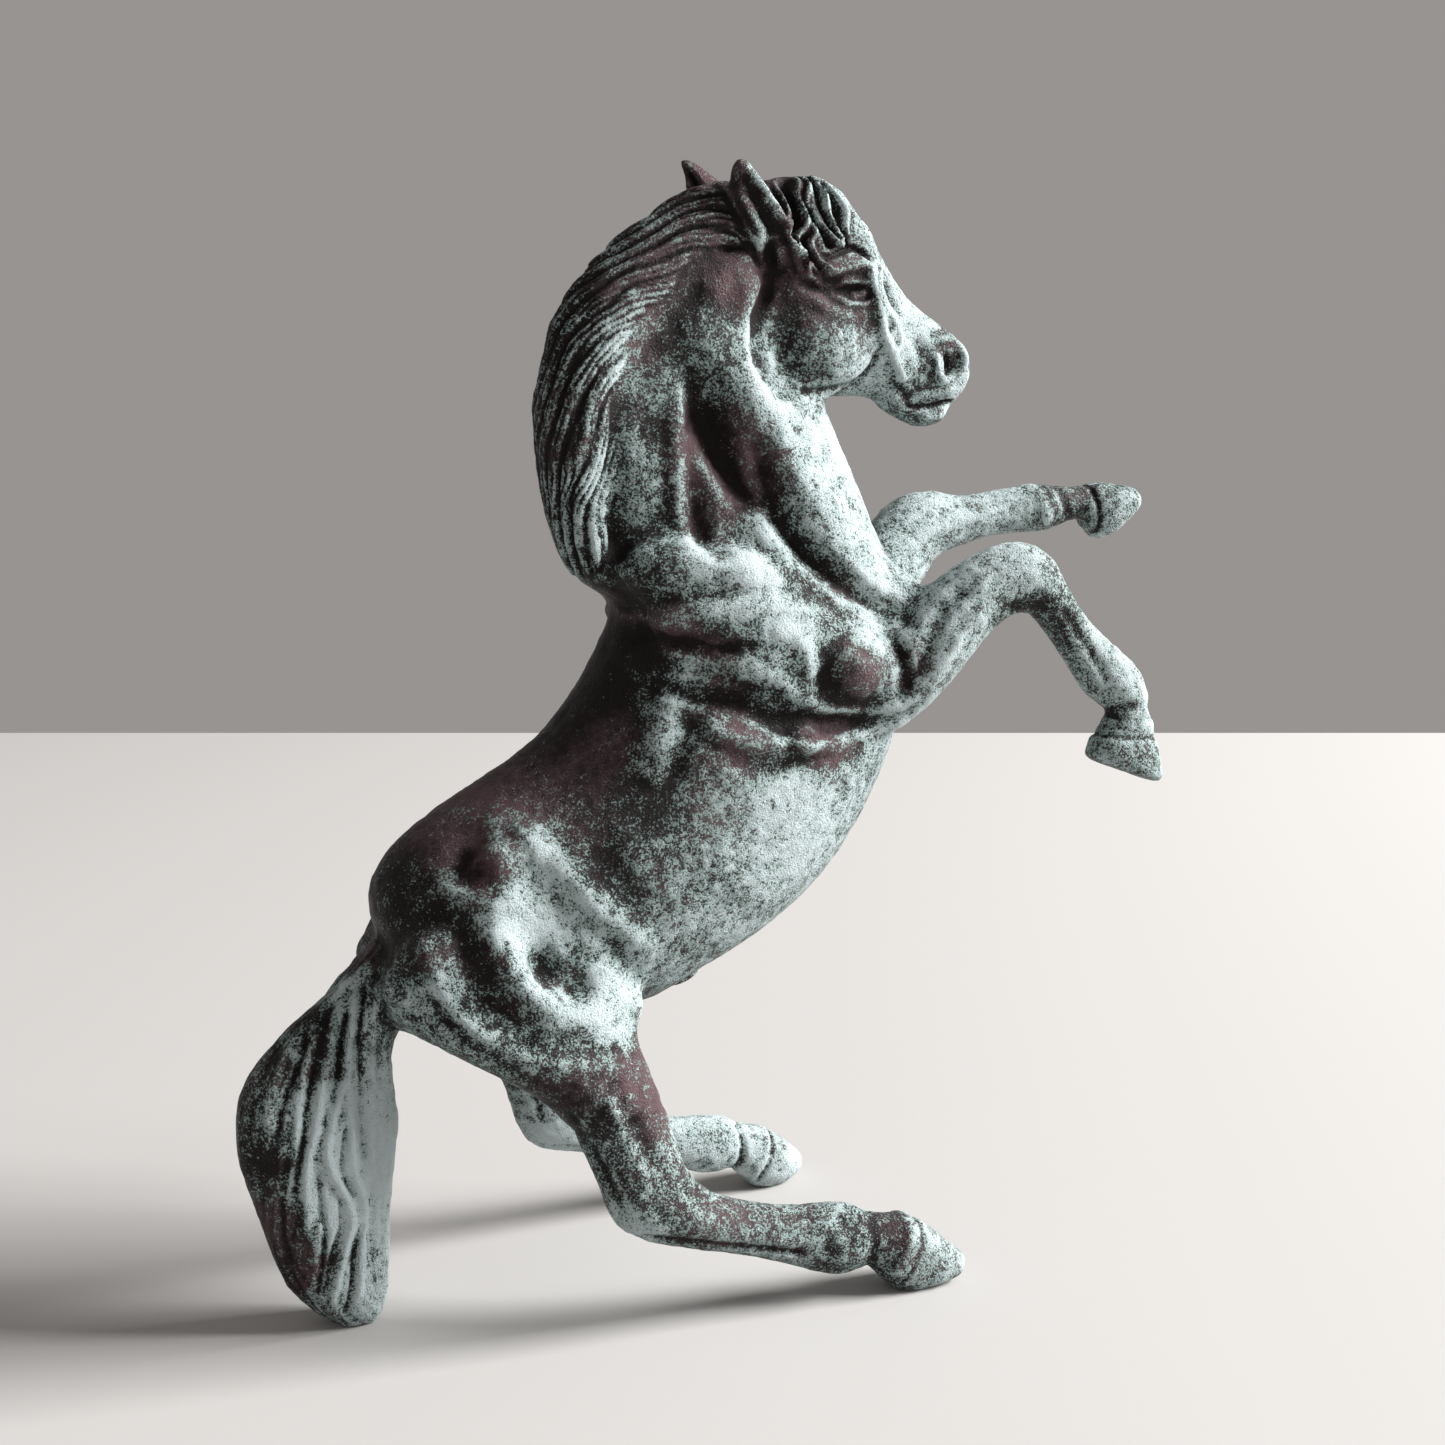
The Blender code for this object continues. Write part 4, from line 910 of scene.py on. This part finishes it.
def part_figure(skin, material):
    """Cuts the skin along the castings' joints and names each closed piece after its casting."""
    mesh = skin.data
    bm = bmesh.new()
    bm.from_mesh(mesh)
    for parting in PARTINGS.values():
        away = Vector(away_of(parting))
        start = Vector(to_frame(middle_of(parting)))
        faces = [
            face
            for face in bm.faces
            if abs((face.verts[0].co - start).dot(away)) < CUT_BAND * UNIT
            and (face.verts[0].co - start).length < parting.cut * UNIT
        ]
        edges = dict.fromkeys(edge for face in faces for edge in face.edges)
        verts = dict.fromkeys(vert for face in faces for vert in face.verts)
        cut = bmesh.ops.bisect_plane(
            bm,
            geom=[*verts, *edges, *faces],
            dist=SAME_POINT_M,
            plane_co=start,
            plane_no=away,
        )["geom_cut"]
        line = [item for item in cut if isinstance(item, bmesh.types.BMEdge)]
        bmesh.ops.split_edges(bm, edges=longest_chain(line))
    bmesh.ops.holes_fill(bm, edges=[edge for edge in bm.edges if edge.is_boundary], sides=0)
    bm.to_mesh(mesh)
    bm.free()
    bpy.ops.object.select_all(action="DESELECT")
    bpy.context.view_layer.objects.active = skin
    skin.select_set(True)
    bpy.ops.mesh.separate(type="LOOSE")
    for piece in list(bpy.context.selected_objects):
        points = coords(piece.data)
        gaps = {}
        for name in CASTINGS:
            low, high = box_of(name)
            gaps[name] = np.abs(points.min(axis=0) - low).max() + np.abs(points.max(axis=0) - high).max()
        name = min(gaps, key=gaps.get)
        piece.name = f"{name}_skin"
        piece.data.materials.clear()
        piece.data.materials.append(material)
        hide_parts(name)
        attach(piece, "root")


# ---------------------------------------------------------------- floor, light and camera
CAMERA_PLACE = (-136.9, -419.0, 190.0)
CAMERA_TURN = math.radians(21.0)
CAMERA_PITCH = math.radians(8.04)
LENS_MM = 49.83
SENSOR_MM = 36
CLIP_START_M = 0.01
FLOOR_END_M = 1.287  # how far in front of the camera the floor stops
FLOOR_DEPTH_M = 3.0
FLOOR_WIDTH_M = 6.0
FLOOR_COLOUR = (0.42, 0.408, 0.396)
WORLD_COLOUR = (0.31, 0.295, 0.285)
LAMPS = (  # name, place in metres, watts, width in metres
    ("key", (3.20, -0.90, 2.10), 480, 1.7),
    ("fill", (-0.3, -1.1, 0.5), 0.6, 0.8),
)
LAMPS_AIM_M = (0, 0, 0.12)


def put_aimed(name, data, place, view):
    """A lamp or camera at the place, looking along the view."""
    holder = bpy.data.objects.new(name, data)
    bpy.context.scene.collection.objects.link(holder)
    holder.location = place
    holder.rotation_euler = view.to_track_quat("-Z", "Y").to_euler()
    return holder


def set_stage():
    """The plain floor, the studio light and the camera."""
    bm = bmesh.new()
    bmesh.ops.create_grid(bm, x_segments=1, y_segments=1, size=0.5)
    bm.transform(
        Matrix.Translation(to_frame(np.array((*CAMERA_PLACE[:2], 0))))
        @ Matrix.Rotation(-CAMERA_TURN, 4, "Z")
        @ Matrix.Translation((0, FLOOR_END_M - FLOOR_DEPTH_M / 2, 0))
        @ Matrix.Diagonal((FLOOR_WIDTH_M, FLOOR_DEPTH_M, 1, 1))
    )
    mesh = bpy.data.meshes.new("floor")
    bm.to_mesh(mesh)
    bm.free()
    floor = bpy.data.objects.new("floor", mesh)
    bpy.context.scene.collection.objects.link(floor)
    paint = bpy.data.materials.new("floor_paint")
    n = Nodes(paint)
    n.shader.inputs["Base Color"].default_value = (*FLOOR_COLOUR, 1)
    n.shader.inputs["Roughness"].default_value = 0.75
    mesh.materials.append(paint)

    world = bpy.data.worlds.new("studio")
    bpy.context.scene.world = world
    world.use_nodes = True
    sky = world.node_tree.nodes["Background"]
    sky.inputs["Color"].default_value = (*WORLD_COLOUR, 1)
    sky.inputs["Strength"].default_value = 1.0

    for name, place, watts, width in LAMPS:
        lamp = bpy.data.lights.new(name, "AREA")
        lamp.energy = watts
        lamp.size = width
        put_aimed(name, lamp, place, Vector(LAMPS_AIM_M) - Vector(place))

    bpy.context.scene.view_settings.view_transform = "Standard"

    camera = bpy.data.cameras.new("camera")
    camera.sensor_width = SENSOR_MM
    camera.lens = LENS_MM
    camera.clip_start = CLIP_START_M
    view = Vector(
        (
            math.sin(CAMERA_TURN) * math.cos(CAMERA_PITCH),
            math.cos(CAMERA_TURN) * math.cos(CAMERA_PITCH),
            -math.sin(CAMERA_PITCH),
        )
    )
    place = to_frame(np.array(CAMERA_PLACE))
    bpy.context.scene.camera = put_aimed("camera", camera, place, view)


def corners(bounds):
    return [[float(value) for value in corner] for corner in bounds]


def main():
    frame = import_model()
    cad_box = corners(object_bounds())
    set_stage()
    skin = closed_skin(frame)
    sculpt(skin, *(to_drawing(np.array(corner)) for corner in cad_box))
    cover_and_light, red_and_light = patina_values(skin)
    store(skin.data, "cover_and_light", cover_and_light)
    store(skin.data, "red_and_light", red_and_light)
    skin.data.shade_smooth()
    part_figure(skin, verdigris("verdigris_bronze_cast"))
    rod = pin_bronze()
    crust = verdigris("verdigris_plug", 0.5)
    for name, node in frame["nodes"].items():
        if name not in CASTINGS:
            node.data.materials.clear()
            node.data.materials.append(crust if name == PLUG else rod)


main()
